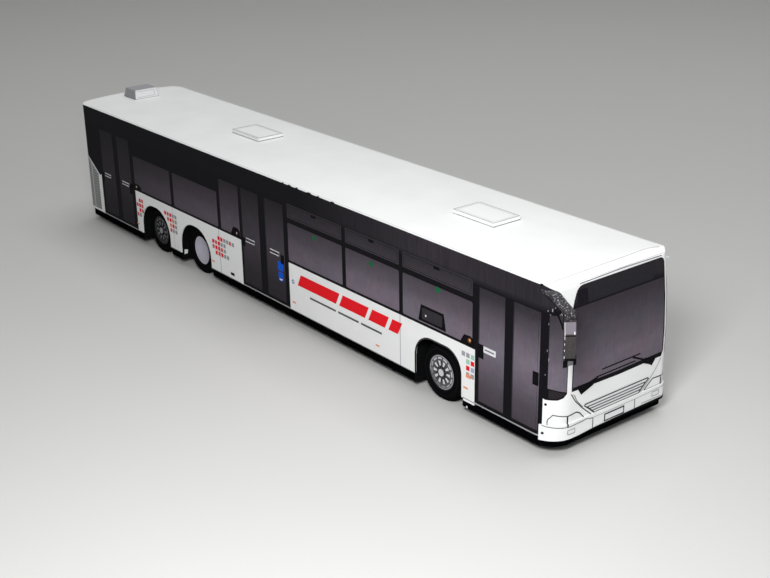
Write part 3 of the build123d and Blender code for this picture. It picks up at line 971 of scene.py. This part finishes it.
def arch_cards(hand):
    """The front arch's rear corner, cut rounder than the sheet, its outline and the inside of its rim."""
    surface = side_of(hand)
    side_name = SIDE_NAMES[hand]
    turn = np.linspace(0, math.pi / 2, 17)
    reach = np.array((ARCH_BUILT + 0.12, ARCH_REAR_TURN))[:, None]
    middle = np.array((ARCH_BUILT, ARCH_REAR_TURN))[:, None]
    corner = Print(surface, 0.01)
    corner.patch(ARCH_REAR + middle - reach * np.cos(turn),
                 ARCH_TOP - middle + reach * np.sin(turn), WHITE)
    corner.finish("arch_corner_" + side_name, "side_card", "white_card", thickness=0.55)
    rim, long, outline, light = arch_rim(hand)
    lines = Print(surface, 0.0)
    lines.line(outline, 0.28)
    lines.on(1).line(light, FINE, GREY)
    lines.finish("arch_outline_" + side_name, "side_card", thickness=0.25)
    edge = Print(rim, 0.03)
    edge.area(0.0, long, 0.02, 0.32)
    edge.area(0.0, long * 0.72, 0.32, 0.46, (0.22, 0.22, 0.23))
    edge.finish("arch_rim_" + side_name, "well_card")


# The nose and tail prints

def shifted(path, by):
    """A path moved along the card."""
    return [(s + by, z) for s, z in path]


def on_hand(hand, *places):
    """Places on the right, -1, or the left, 1, of the middle line, in rising order."""
    return sorted((hand * s, z) for s, z in places)


def nose_print(settings, side):
    """The nose: a wide windscreen with a blank sign band, wipers, grille, lamps and quarter windows."""
    ink, glass, marks = layers(nose, NOSE_STEP)
    windscreen(ink, glass, marks, settings)
    wipers(marks, settings)
    grille_and_lamps(marks, settings.shift)
    quarter_windows(ink, glass, marks, side)
    # Painted shadow of the mirror: black on both sides of the pillar, grey on the pillar
    right = settings.shift + SCREEN_RIGHT
    marks.area(-12.2, -11.35, 16.7, 18.6)
    marks.area(-11.35, right, 16.9, 18.6, (0.20, 0.20, 0.21))
    marks.area(right, right + 0.75, 16.7, 18.6)
    # Pale flecks of bare card down the right corner
    marks.on(1)
    for s, z, long, wide in ((-14.25, 26.9, 0.55, 0.16), (-15.0, 26.8, 0.35, 0.09),
                             (-13.8, 27.5, 0.25, 0.09), (-13.0, 26.25, 0.25, 0.09),
                             (-14.6, 26.2, 0.25, 0.08), (-14.8, 24.5, 0.3, 0.09),
                             (-11.95, 24.7, 0.25, 0.08), (-14.9, 19.6, 0.4, 0.08),
                             (-14.6, 17.9, 0.6, 0.09), (-15.1, 15.2, 0.3, 0.08)):
        marks.line([(s, z), (s + 0.05, z + long)], wide, LIGHT_GREY)
    finish_layers((ink, glass, marks), "nose", material="screen_glass")


def windscreen(ink, glass, marks, settings):
    """Black all round the screen and over the blank sign band, glass below it, and a grey top line."""
    middle = settings.shift
    foot = settings.screen_foot
    top = settings.screen_top
    sign = settings.sign_foot + 0.35
    right = middle + SCREEN_RIGHT
    left = middle + SCREEN_LEFT
    ink.area(right, left, [(right, foot), (middle, foot - 0.3), (left - 2.0, foot - 0.15),
                           (left - 0.4, foot - 0.15), (left, foot + 0.9)],
             [(right, 26.4), (right + 0.25, 26.7), (right + 0.7, 28.0), (right + 1.2, 29.1),
              (right + 1.75, 29.8), (right + 2.4, 30.15), (right + 3.1, top), (left - 0.7, top),
              (left - 0.2, top - 0.3), (left, top - 0.8)])
    glass.area(right + 0.2, left - 0.3, [(right + 0.2, foot + 0.7), (middle, foot + 0.55),
                                         (left - 0.3, foot + 0.75)], settings.sign_foot)
    marks.area(right + 4.0, left - 2.9, sign, top - 0.4, (0.021, 0.020, 0.024))
    marks.area(right + 1.4, right + 3.9, sign, top - 0.7, (0.010, 0.009, 0.012))
    marks.line([(right + 2.2, top + 0.3), (middle + 1.2, top + 0.47), (left - 0.6, top + 0.32)], 0.15,
               (0.17, 0.16, 0.19))


def wipers(marks, settings):
    """Two blades over the screen's foot, their arms, and the dark wedges below them."""
    middle = settings.shift
    foot = settings.screen_foot
    marks.on(1)
    for start, end, z, elbow, hub in ((-5.5, 4.4, 12.74, -5.2, -8.7), (-4.3, 5.6, 13.79, 3.6, 7.4)):
        marks.line([(middle + start, z), (middle + end, z + 0.03)], 0.24)
        marks.line([(middle + elbow, z - 0.1), (middle + hub, foot + 0.25)], 0.34)
    wedge = shifted([(-10.1, foot), (-9.3, foot - 1.2), (-6.3, foot - 0.2)], middle)
    marks.on(2).area(middle - 10.1, middle - 6.3, wedge, foot + 0.35)
    wedge = shifted([(6.5, foot - 0.1), (8.0, foot - 0.7), (8.9, foot - 1.25), (9.8, foot - 0.1)], middle)
    crest = shifted([(6.5, foot + 0.7), (7.1, foot + 0.8), (9.8, foot + 0.15)], middle)
    marks.area(middle + 6.5, middle + 9.8, wedge, crest)
    marks.on(0)


def grille_and_lamps(marks, middle):
    """The grille's slats between curved seams, and a headlamp on each side round its dark bar."""
    # Seams from the pillars down to the bumper, the right one dark and doubled near its top
    for path, width, colour in (
            (((-11.7, 11.35), (-10.65, 9.75), (-8.9, 7.95), (-5.9, 5.4)), 0.18, SLATE),
            (((-11.15, 11.1), (-10.8, 10.75), (-10.35, 9.8), (-9.8, 9.15), (-8.7, 8.05)), HAIR, GREY),
            (((11.4, 11.3), (10.6, 10.1), (9.85, 9.15), (9.05, 8.35), (7.1, 6.65), (6.0, 5.8)), HAIR,
             LIGHT_GREY)):
        marks.line(shifted(path, middle), width, colour)
    # A trapezoid of level slats
    for z, reach, width, colour in ((8.3, 8.25, 0.22, SLATE), (5.65, 5.3, 0.2, SLATE),
                                    (7.65, 7.5, 0.2, GREY), (7.1, 6.9, 0.2, GREY),
                                    (6.55, 6.4, 0.2, GREY), (6.0, 5.9, 0.2, GREY)):
        marks.level(middle - reach, middle + reach, z, width, colour)
    for hand in (-1, 1):
        for path, width, colour in ((((8.35, 8.15), (6.9, 7.0), (5.4, 5.65)), 0.22, SLATE),
                                    (((7.5, 7.7), (5.6, 5.95)), FINE, GREY)):
            marks.line([(middle + hand * s, z) for s, z in path], width, colour)
    # An inner pane and an outer one round the corner, with the dark bar between
    for bar, top, inner, outer in (
            (-10.9, 7.35, ((-8.9, 7.55), (-8.05, 7.15), (-6.95, 5.95)),
             ((-12.5, 7.65), (-13.55, 7.9), (-14.4, 7.0), (-14.5, 6.5), (-14.45, 5.95))),
            (13.1, 7.65, ((10.85, 7.75), (9.9, 7.1), (8.75, 6.2), (8.7, 6.0)),
             ((14.8, 7.75), (15.9, 7.9), (16.7, 7.2), (16.9, 6.2)))):
        marks.line([(bar, top), *inner], 0.2, SLATE)
        marks.line([(bar, top), *outer], 0.16, GREY)
        marks.upright(bar, 5.96, 7.4, 0.26)
    marks.line([(8.7, 6.05), (12.9, 6.1), (16.9, 6.15)], 0.08, LIGHT_GREY)


def quarter_windows(ink, glass, marks, side):
    """The nose's wrapped sides: the door's dark edge, and a quarter window with a sagging dark foot."""
    for hand, pillar, frame_edge in ((-1, 11.2, 14.6), (1, 14.1, 15.9)):
        seam = side_start(hand) + LENGTH - bend_of(hand) - SEAM_FRONT
        strip = seam - 0.4
        span = seam - pillar
        crest = on_hand(hand, (pillar, 26.0), (pillar + 0.7, 28.6), (pillar + 2.0, 30.4),
                        (seam, ROOF_EDGE_Z - 0.15))
        sag = on_hand(hand, (pillar, 11.7), (pillar + 0.14 * span, 11.0), (pillar + 0.36 * span, 10.65),
                      (strip - 0.4, 10.68), (strip, 10.85), (seam, 10.85))
        ink.area(*sorted((hand * pillar, hand * seam)), sag, crest)
        if hand < 0:
            ink.area(-seam, -strip, side.door_foot, 10.85)
        slant = on_hand(hand, (pillar + 0.1, 12.0), (frame_edge - 1.2, 12.6), (frame_edge, 12.85))
        glass.area(*sorted((hand * (pillar + 0.1), hand * frame_edge)), slant, 26.2)
        marks.upright(hand * (frame_edge + 0.05), 12.9, 26.0, FINE, SOFT_BLACK)
        marks.dot(hand * (frame_edge + 0.25), 9.8, 0.24)
    marks.area(-14.4, -11.6, [(-14.4, 11.0), (-13.2, 10.9), (-12.2, 11.15), (-11.6, 11.6)],
               [(-14.4, 12.6), (-13.4, 12.4), (-11.6, 11.9)], (0.022, 0.018, 0.021))
    # Painted shadow of the mirror's arm: a dark line down the right quarter window
    marks.line([(-13.95, 27.4), (-13.2, 26.0), (-12.6, 24.55), (-12.4, 23.7)], 0.28)


def bumper_print(settings):
    """The bumper strip: seams, fog lamps, a dark foot and a blank plate in a dark frame."""
    marks = Print(bumper, MARK_LIFT, NOSE_STEP)
    ledge = Print(bumper_top, INK_LIFT, NOSE_STEP)
    seams(marks, (-4.9, 5.95), 3.1, 5.3, 0.16, GREY)
    marks.line([(-15.3, 5.9), (-14.4, 5.75), (-12.9, 5.55), (-11.9, 5.45), (-10.85, 5.4), (-7.25, 5.5),
                (-6.5, 5.6), (-5.4, 5.3), (-4.9, 5.3)], HAIR, GREY)
    marks.line([(-4.9, 5.3), (5.95, 5.3), (16.3, 5.6)], FINE, SEAM_GREY)
    marks.line([(7.75, 3.85), (13.15, 3.75)], FINE, LIGHT_GREY)
    marks.area(-9.0, 16.3, 2.99, [(-9.0, 3.0), (-4.0, 3.3), (6.0, 3.45), (16.3, 3.55)])
    marks.upright(-10.95, 5.4, BUMPER_TOP_Z, 0.26)
    ledge.area(-11.08, -10.82, 0.04, CARD + 0.02)
    ledge.finish("bumper_ledge_mark", "bumper_card")
    plate = settings.shift - 0.8
    marks.area(plate - 2.6, plate + 2.6, 3.5, 5.0)
    marks.on(1).area(plate - 2.35, plate + 2.35, 3.75, 4.75, WHITE)
    marks.dot(-15.15, 4.45, 0.24)
    for edges in ((-10.95, -9.35, 3.95, 4.75), (10.6, 12.45, 4.3, 5.15)):
        marks.on(0).frame(*edges, HAIR, LIGHT_GREY)
    marks.finish("bumper_marks", "bumper_card")


def tail_print(side):
    """The tail: rear window, black surround, engine flap, upright lamps and a blank plate."""
    ink = Print(tail, INK_LIFT, TAIL_STEP)
    glass = Print(tail, GLASS_LIFT)
    marks = Print(tail, MARK_LIFT, TAIL_STEP)
    seam_left = HALF - TAIL_CORNER + TAIL_CORNER * math.pi / 2 + SEAM_REAR - TAIL_CORNER
    seam_right = -seam_left
    ink.area(seam_right, seam_left, [(seam_right, 16.9), (seam_right + 3.2, 19.0), (11.5, 19.0),
                                     (12.5, side.belt), (seam_left, side.belt)], BAND_TOP_Z)
    glass.pane(-11.2, 11.2, 20.0, 27.6, 0.8)
    glass.pane(-9.5, 9.5, 28.5, 30.6, 0.3)
    marks.frame(-10.4, 10.4, 6.6, 17.6, 0.16, GREY)
    for low in np.arange(12.4, 17.0, 0.75):
        marks.level(-8.8, 8.8, low, 0.24, LIGHT_GREY)
    marks.area(-3.0, 3.0, 8.2, 9.9)
    marks.on(1).area(-2.75, 2.75, 8.45, 9.65, WHITE)
    marks.on(0)
    for hand in (-1, 1):
        start, end = sorted((hand * 11.3, hand * 13.1))
        for low, colour in ((7.2, RED), (9.6, ORANGE), (12.0, RED), (14.4, PALE)):
            marks.pane(start, end, low, low + 2.0, 0.4, colour)
        marks.frame(start - 0.25, end + 0.25, 6.95, 16.65, HAIR, GREY)
    marks.level(seam_right, seam_left, 6.0, HAIR, LIGHT_GREY)
    seams(marks, (-6.0, 6.0), PANEL_FOOT_Z, 6.0)
    # The grille of the right side runs on round the corner
    grille(marks, seam_right, seam_right + 3.0, [(seam_right, 16.3), (seam_right + 3.0, 18.3)])
    marks.line([(seam_right, 16.75), (seam_right + 3.2, 18.85)], 0.2, PALE)
    finish_layers((ink, glass, marks), "tail")


# The roof, the wheels and the mirrors

def roof_print():
    """The roof: its fold line, faint outlines, and dark flecks where the band's ink crosses its edge."""
    faint = (0.56, 0.57, 0.59)
    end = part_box("roof_panel")[1].x / MM - TAIL_X
    lines = Print(roof, MARK_LIFT)
    lines.line([(LIP_FOLD + 0.6, -HALF + 1.4), (LIP_FOLD + 0.35, HALF - 2.6)], FINE, faint)
    lines.line([(LIP_FOLD + 0.35, HALF - 2.6), (LIP_FOLD + 0.7, HALF - 1.4)], HAIR, LIGHT_GREY)
    lines.upright(end - 0.25, -HALF + 3.2, HALF - 1.0, 0.07, faint)
    for hand in (-1, 1):
        lines.level(5.0, LIP_FOLD - 1.0, hand * (HALF - 0.3), 0.06, faint)
    ragged = Print(side_of(-1), MARK_LIFT)
    for start, long, wide in ((93.4, 0.6, 0.08), (95.6, 1.0, 0.05), (98.3, 0.8, 0.08), (102.4, 1.3, 0.05),
                              (105.8, 0.7, 0.06), (110.4, 1.2, 0.04), (168.3, 0.5, 0.08)):
        ragged.area(start, start + long, ROOF_EDGE_Z - 0.35, ROOF_EDGE_Z + 0.6 * wide)
        lines.level(start + 0.1, start + long - 0.1, wide / 2 - HALF, wide)
    ragged.finish("roof_edge_flecks", "side_card")
    lines.finish("roof_lines", "roof_card")
    hatch_print("roof_hatch_front")
    hatch_print("roof_hatch_middle")
    vent_print()


def hatch_print(name):
    """A hatch: two outlines on its lid, and painted shade along the foot of its front and right faces."""
    low, high = box_mm(name)
    lid = Print(flat_top(high.z), MARK_LIFT)
    for inset, width, colour in ((0.1, 0.16, (0.38, 0.39, 0.40)), (0.6, 0.08, (0.60, 0.61, 0.62))):
        lid.frame(low.x + inset, high.x - inset, low.y + inset, high.y - inset, width, colour)
    lid.finish(name + "_lines", "hatch_card")
    foot = high.z - HATCH_HIGH
    # Painted shade at the foot of the front and right faces, darker on the front
    for face, start, end, top, colour in (
            ("_front_foot_shade", (high.x, low.y), (high.x, high.y), 0.24, (0.24, 0.25, 0.26)),
            ("_side_foot_shade", (low.x, low.y), (high.x, low.y), 0.20, (0.30, 0.31, 0.32))):
        wall = panel(((*start, foot), (*end, foot), (*end, high.z), (*start, high.z)), 0.3)
        wall.area(0.0, 1.0, 0.02, top, colour)
        wall.finish(name + face, "hatch_card")


def vent_print():
    """The vent box: a white front face with a thin inner outline, and dark creases on its right side."""
    low, high = box_mm("roof_vent")
    front = panel(((high.x, low.y, CROWN_Z), (high.x, high.y, CROWN_Z),
                   (high.x - 0.5, high.y - 0.3, high.z), (high.x - 0.5, low.y + 0.3, high.z)))
    front.area(0.01, 0.99, 0.05, 0.98, WHITE)
    front.on(1).level(0.1, 0.86, 0.2, 0.03, LIGHT_GREY)
    front.level(0.1, 0.86, 0.8, 0.03, LIGHT_GREY)
    front.upright(0.86, 0.22, 0.78, 0.012, LIGHT_GREY)
    front.finish("roof_vent_front", "vent_card")
    foot = CROWN_Z - 0.1
    side = panel(((low.x, low.y, foot), (high.x, low.y, foot),
                  (high.x - 0.5, low.y + 0.3, high.z), (low.x + 1.0, low.y + 0.3, high.z)))
    side.level(0.03, 0.97, 0.06, 0.05, (0.10, 0.10, 0.12))
    seams(side, (0.22, 0.4, 0.58, 0.76), 0.2, 0.85, 0.02, (0.26, 0.26, 0.30))
    side.finish("roof_vent_side", "vent_card")


def wheel_print(axle, hand, colours):
    """One flat hub's print: a thin rim, broken pale arcs, pale wedges and bolts on black, a boss, and
    painted shade.
    """
    wheel = f"{axle}_{SIDE_NAMES[hand]}"
    body = axle + "_wheels"
    edge, rim, disc, hole, boss = colours
    pitch = 2 * math.pi / HUB_HOLES
    web = Print(wheel_face("hub_" + wheel, hand, 0.2), INK_LIFT)
    # The thin rim is a painted highlight over the top and ahead, and dark over the lower rear
    for inner, outer, colour, sides, arc in (
            (3.2, 3.35, edge, 24, (-1.7, 3.2)), (3.2, 3.35, disc, 8, (3.2, 2 * math.pi - 1.7)),
            (3.0, 3.2, disc, 32, (0, 2 * math.pi)), (0.76, 3.0, hole, 32, (0, 2 * math.pi))):
        web.ring(0, 0, inner, outer, colour, sides, arc)
    web.finish("hub_print_" + wheel, "hub_card", body=body)
    cut = Print(wheel_face("hub_" + wheel, hand, 0.2), INK_LIFT + 0.015)
    for turn in np.arange(HUB_HOLES) * pitch:
        cut.ring(0, 0, *HUB_WEDGES, rim, 2, (turn - 0.13, turn + 0.13))
        bolt = turn + pitch / 2
        cut.dot(HUB_BOLTS * math.cos(bolt), HUB_BOLTS * math.sin(bolt), 0.12, disc, sides=3)
    # Painted shade: the arcs grow darker towards the lower rear
    for turn in np.arange(12) * math.pi / 6:
        shade = 0.65 - 0.35 * math.cos(turn - 3.9)
        cut.ring(0, 0, *HUB_ARCS, scaled(rim, shade), 4, (turn, turn + 0.37))
    cut.finish("hub_holes_" + wheel, "hub_card", body=body)
    cap = Print(wheel_face("hub_" + wheel, hand, 0.0), INK_LIFT)
    cap.dot(0, 0, HUB_BOSS, boss, sides=9)
    cap.finish("hub_cap_" + wheel, "hub_card", body=body)


def dish_print(hand):
    """The drive hub's pale cut edge."""
    hub = "drive_" + SIDE_NAMES[hand]
    edge = Print(wheel_face("hub_" + hub, hand, 0.0), INK_LIFT)
    edge.ring(0, 0, 3.16, 3.36, (0.62, 0.62, 0.64), 40)
    edge.finish("hub_edge_" + hub, "hub_card", body="drive_wheels")


def tyre_print(axle, hand):
    """A tyre's side: two thin paler rings on the dark print."""
    wheel = f"{axle}_{SIDE_NAMES[hand]}"
    wall = Print(wheel_face("tyre_" + wheel, hand, 0.0), INK_LIFT)
    wall.ring(0, 0, 3.5, 3.60, (0.018, 0.018, 0.020), 48)
    wall.ring(0, 0, 4.55, 4.62, (0.012, 0.012, 0.013), 48)
    wall.finish("tyre_print_" + wheel, "tyre_card", body=axle + "_wheels")


def mirror_print():
    """The right mirror's sloping facet painted paler, a painted highlight, and the pale cut edges down its
    inner side.
    """
    low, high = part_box("mirror_housing_right")
    centre = (low + high) / 2 / MM
    foot = low.z / MM
    ridge = high.z / MM
    turn = math.radians(MIRROR_TURN)
    across = Vector((math.sin(turn), math.cos(turn), 0)) * MIRROR_WIDE / 2
    ahead = Vector((math.cos(turn), -math.sin(turn), 0)) * MIRROR_DEEP / 2
    bow = ridge - MIRROR_BOWED

    def corner(side, depth, z):
        place = centre + across * side + ahead * depth
        return place.x, place.y, z
    facet = panel((corner(-1, 1, bow), corner(1, 1, bow), corner(1, 0, ridge), corner(-1, 0, ridge)))
    # Painted highlight: the upward facet is paler than the housing's black
    facet.area(0.06, 0.96, 0.08, 0.90, (0.20, 0.18, 0.21))
    facet.area(0.0, 0.05, 0.0, 0.9, PALE)
    facet.on(1).area(0.80, 0.90, 0.06, 0.26, PALE)
    facet.finish("mirror_facet_right", "mirror_card")
    face = panel((corner(-1, 1, foot), corner(1, 1, foot), corner(1, 1, bow), corner(-1, 1, bow)))
    for start, end in ((0.10, 0.2), (0.38, 0.45), (0.62, 0.7), (0.84, 0.98)):
        face.area(0.0, 0.05, start, end, PALE)
    face.area(0.06, 1.0, 0.0, 0.10)
    face.area(0.06, 0.94, 0.965, 1.0)
    face.finish("mirror_edge_right", "mirror_card")


# Operators

# The finish of each built node, by the start of its name
NODE_FINISHES = {
    "side_panel": "white", "nose_shell": "white", "tail_shell": "white", "bumper_front": "white",
    "roof_panel": "roof", "roof_hatch": "roof", "roof_vent": "vent", "skirt": "ink",
    "floor_plate": "ink", "wheel_well": "well", "mirror_arm_right": "arm",
    "mirror_arm_left": "white", "mirror_housing": "housing", "tyre": "tyre", "hub_drive": "dish",
    "hub": "hub", "axle": "wire",
}


class BUS_OT_card(bpy.types.Operator):
    """Makes the inks, and gives every built sheet, wheel and wire its card or wire finish"""

    bl_idname = "bus.card"
    bl_label = "Card finishes"

    def execute(self, context):
        finishes = {
            "white": plain_card("white_card", context.scene.bus_card.white),
            "roof": plain_card("roof_card", (0.915, 0.93, 0.925)),
            "vent": plain_card("vent_card_grey", (0.36, 0.355, 0.38)),
            "ink": black_ink("black_card", (0.0013, 0.0013, 0.0017), 0.9, 0.0),
            "arm": black_ink("arm_card", (0.020, 0.018, 0.022), 0.6, 0.2, 0.7),
            "well": black_ink("well_card", (0.0055, 0.0055, 0.0060), 0.9, 0.0),
            "housing": black_ink("housing_card", (0.040, 0.034, 0.036), 0.6, 0.15),
            "tyre": plain_card("tyre_card", (0.0048, 0.0048, 0.0055), 0.8, 0.08, 0.4, 0.0),
            "hub": plain_card("hub_card", (0.13, 0.127, 0.14)),
            "dish": plain_card("dish_card", (0.47, 0.455, 0.53), 0.6),
            "wire": steel_wire(),
        }
        for name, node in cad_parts.items():
            kinds = [kind for start, kind in NODE_FINISHES.items() if name.startswith(start)]
            if not kinds:
                raise RuntimeError(f"no finish for {name}")
            node.data.materials.clear()
            node.data.materials.append(finishes[kinds[0]])
        band_ink_and_sheen("black_print_and_sheen")
        colour_ink("colour_print")
        for name, tone, stops in GLASSES:
            printed_glass(name, tone, stops)
        return {"FINISHED"}


class BUS_OT_sides(bpy.types.Operator):
    """Prints both sides, and adds the front arches' corners and rims and a scrap of card"""

    bl_idname = "bus.sides"
    bl_label = "Side prints"

    def execute(self, context):
        right_print(context.scene.bus_side)
        left_print(context.scene.bus_side)
        arch_cards(-1)
        arch_cards(1)
        drive_scrap()
        return {"FINISHED"}


class BUS_OT_nose(bpy.types.Operator):
    """Prints the nose and the bumper strip"""

    bl_idname = "bus.nose"
    bl_label = "Nose print"

    def execute(self, context):
        nose_print(context.scene.bus_nose, context.scene.bus_side)
        bumper_print(context.scene.bus_nose)
        return {"FINISHED"}


class BUS_OT_tail(bpy.types.Operator):
    """Prints the tail"""

    bl_idname = "bus.tail"
    bl_label = "Tail print"

    def execute(self, context):
        tail_print(context.scene.bus_side)
        return {"FINISHED"}


class BUS_OT_roof(bpy.types.Operator):
    """Prints the roof's lines, the hatches and the vent"""

    bl_idname = "bus.roof"
    bl_label = "Roof print"

    def execute(self, context):
        roof_print()
        return {"FINISHED"}


class BUS_OT_wheels(bpy.types.Operator):
    """Prints the hubs and the tyres' sides"""

    bl_idname = "bus.wheels"
    bl_label = "Wheel prints"

    def execute(self, context):
        front = ((0.42, 0.415, 0.44), (0.66, 0.655, 0.69), (0.12, 0.118, 0.13), (0.006, 0.006, 0.007),
                 (0.62, 0.61, 0.64))
        # The tag hubs take the front hubs' print made much darker: painted shade
        rear = ((0.05, 0.05, 0.055), (0.17, 0.17, 0.18), (0.03, 0.03, 0.033), (0.004, 0.004, 0.005),
                (0.32, 0.315, 0.32))
        for hand in (-1, 1):
            wheel_print("front", hand, front)
            wheel_print("tag", hand, rear)
            dish_print(hand)
            for axle in ("front", "drive", "tag"):
                tyre_print(axle, hand)
        return {"FINISHED"}


class BUS_OT_mirrors(bpy.types.Operator):
    """Prints the forward mirror"""

    bl_idname = "bus.mirrors"
    bl_label = "Mirror prints"

    def execute(self, context):
        mirror_print()
        return {"FINISHED"}


class BUS_OT_stage(bpy.types.Operator):
    """Makes the floor, the lamps, the sky and the camera"""

    bl_idname = "bus.stage"
    bl_label = "Stage"

    def execute(self, context):
        stage = context.scene.bus_stage
        make_floor(stage)
        make_lamps(stage)
        make_sky(stage)
        make_camera(stage)
        context.scene.view_settings.view_transform = "Standard"
        return {"FINISHED"}


# The stage

def make_floor(stage):
    """A level pale floor, a plane z = 0 on a grid, 6 m across."""
    reach = np.linspace(-3, 3, 13)
    x, y = np.meshgrid(reach, reach, indexing="ij")
    points = np.stack([x, y, np.zeros_like(x)], axis=-1)
    mesh = bpy.data.meshes.new("floor")
    mesh.from_pydata(points.reshape(-1, 3), [], grid_quads(*x.shape).reshape(-1, 4))
    finish = Finish("pale_floor", 0.75, 0.3)
    base = finish.fade(finish.noise(0.05, 3.0), 0.3, 0.7, stage.floor, scaled(stage.floor, 0.94), 0.25)
    mesh.materials.append(finish.made(base))
    linked("floor", mesh)


def make_lamp(name, place, aim, size, watts):
    """A square soft lamp that faces its aim point."""
    data = bpy.data.lights.new(name, "AREA")
    data.energy = watts
    data.size = size
    made = linked(name, data)
    made.location = place
    made.rotation_euler = (Vector(aim) - Vector(place)).to_track_quat("-Z", "Y").to_euler()


def make_lamps(stage):
    """A small soft key lamp near the camera, a weak one ahead of the nose, and a wide one overhead."""
    make_lamp("key_lamp", (0.150, -0.125, 0.125), (0.045, 0, 0.012), 0.05, stage.key_watts)
    make_lamp("front_lamp", (0.40, 0.13, 0.11), (0.085, 0, 0.015), 0.12, stage.front_watts)
    make_lamp("top_lamp", (0.0, 0.10, 0.62), (0, 0, 0.02), 0.5, stage.fill_watts)


def make_sky(stage):
    """An even sky: its light on the object, and near white where it is seen or reflected."""
    world = bpy.data.worlds.new("sky")
    bpy.context.scene.world = world
    world.use_nodes = True
    tree = world.node_tree
    tree.nodes.clear()
    seen, lit, path, either, shows, mixed, output = (
        tree.nodes.new("ShaderNode" + kind) for kind in
        ("Background", "Background", "LightPath", "Math", "Math", "MixShader", "OutputWorld"))
    seen.inputs["Color"].default_value = (0.93, 0.93, 0.93, 1)
    lit.inputs["Color"].default_value = (1.0, 0.99, 0.98, 1)
    lit.inputs["Strength"].default_value = stage.sky
    either.operation = "MAXIMUM"
    shows.operation = "MAXIMUM"
    for source, target in ((path.outputs["Is Camera Ray"], either.inputs[0]),
                           (path.outputs["Is Glossy Ray"], either.inputs[1]),
                           (either.outputs[0], shows.inputs[0]),
                           (path.outputs["Is Transmission Ray"], shows.inputs[1]),
                           (shows.outputs[0], mixed.inputs[0]),
                           (lit.outputs[0], mixed.inputs[1]),
                           (seen.outputs[0], mixed.inputs[2]),
                           (mixed.outputs[0], output.inputs["Surface"])):
        tree.links.new(source, target)


def make_camera(stage):
    """The camera at its distance from the aim point, turned by azimuth, elevation and roll."""
    forward = Vector((-math.sin(stage.azimuth) * math.cos(stage.elevation),
                      math.cos(stage.azimuth) * math.cos(stage.elevation), -math.sin(stage.elevation)))
    level = forward.cross(Vector((0, 0, 1))).normalized()
    upright = level.cross(forward)
    across = level * math.cos(stage.roll) + upright * math.sin(stage.roll)
    up = across.cross(forward)
    data = bpy.data.cameras.new("camera")
    data.lens = stage.lens
    data.sensor_width = 36
    data.clip_start = 0.01
    data.clip_end = 20
    camera = linked("camera", data)
    turned = Matrix((across, up, -forward)).transposed().to_4x4()
    camera.matrix_world = Matrix.Translation(Vector(stage.aim) - forward * stage.distance) @ turned
    bpy.context.scene.camera = camera


class BUS_PT_panel(bpy.types.Panel):
    """Lists the steps that finish the card bus"""

    bl_label = "Card bus"
    bl_idname = "BUS_PT_panel"
    bl_space_type = "VIEW_3D"
    bl_region_type = "UI"
    bl_category = "Card bus"

    def draw(self, context):
        for operator in OPERATORS:
            self.layout.operator(operator.bl_idname)


SETTINGS = {"bus_card": CardSettings, "bus_side": SideSettings, "bus_nose": NoseSettings,
            "bus_stage": StageSettings}
OPERATORS = (BUS_OT_card, BUS_OT_sides, BUS_OT_nose, BUS_OT_tail, BUS_OT_roof, BUS_OT_wheels,
             BUS_OT_mirrors, BUS_OT_stage)


def register():
    for group in SETTINGS.values():
        bpy.utils.register_class(group)
    for name, group in SETTINGS.items():
        setattr(bpy.types.Scene, name, PointerProperty(type=group))
    for operator in (*OPERATORS, BUS_PT_panel):
        bpy.utils.register_class(operator)


def unregister():
    for operator in (BUS_PT_panel, *reversed(OPERATORS)):
        bpy.utils.unregister_class(operator)
    for name in SETTINGS:
        delattr(bpy.types.Scene, name)
    for group in SETTINGS.values():
        bpy.utils.unregister_class(group)


def main():
    register()
    bpy.ops.bus.card()
    bpy.ops.bus.sides()
    bpy.ops.bus.nose()
    bpy.ops.bus.tail()
    bpy.ops.bus.roof()
    bpy.ops.bus.wheels()
    bpy.ops.bus.mirrors()
    bpy.ops.bus.stage()


if __name__ == "__main__":
    main()
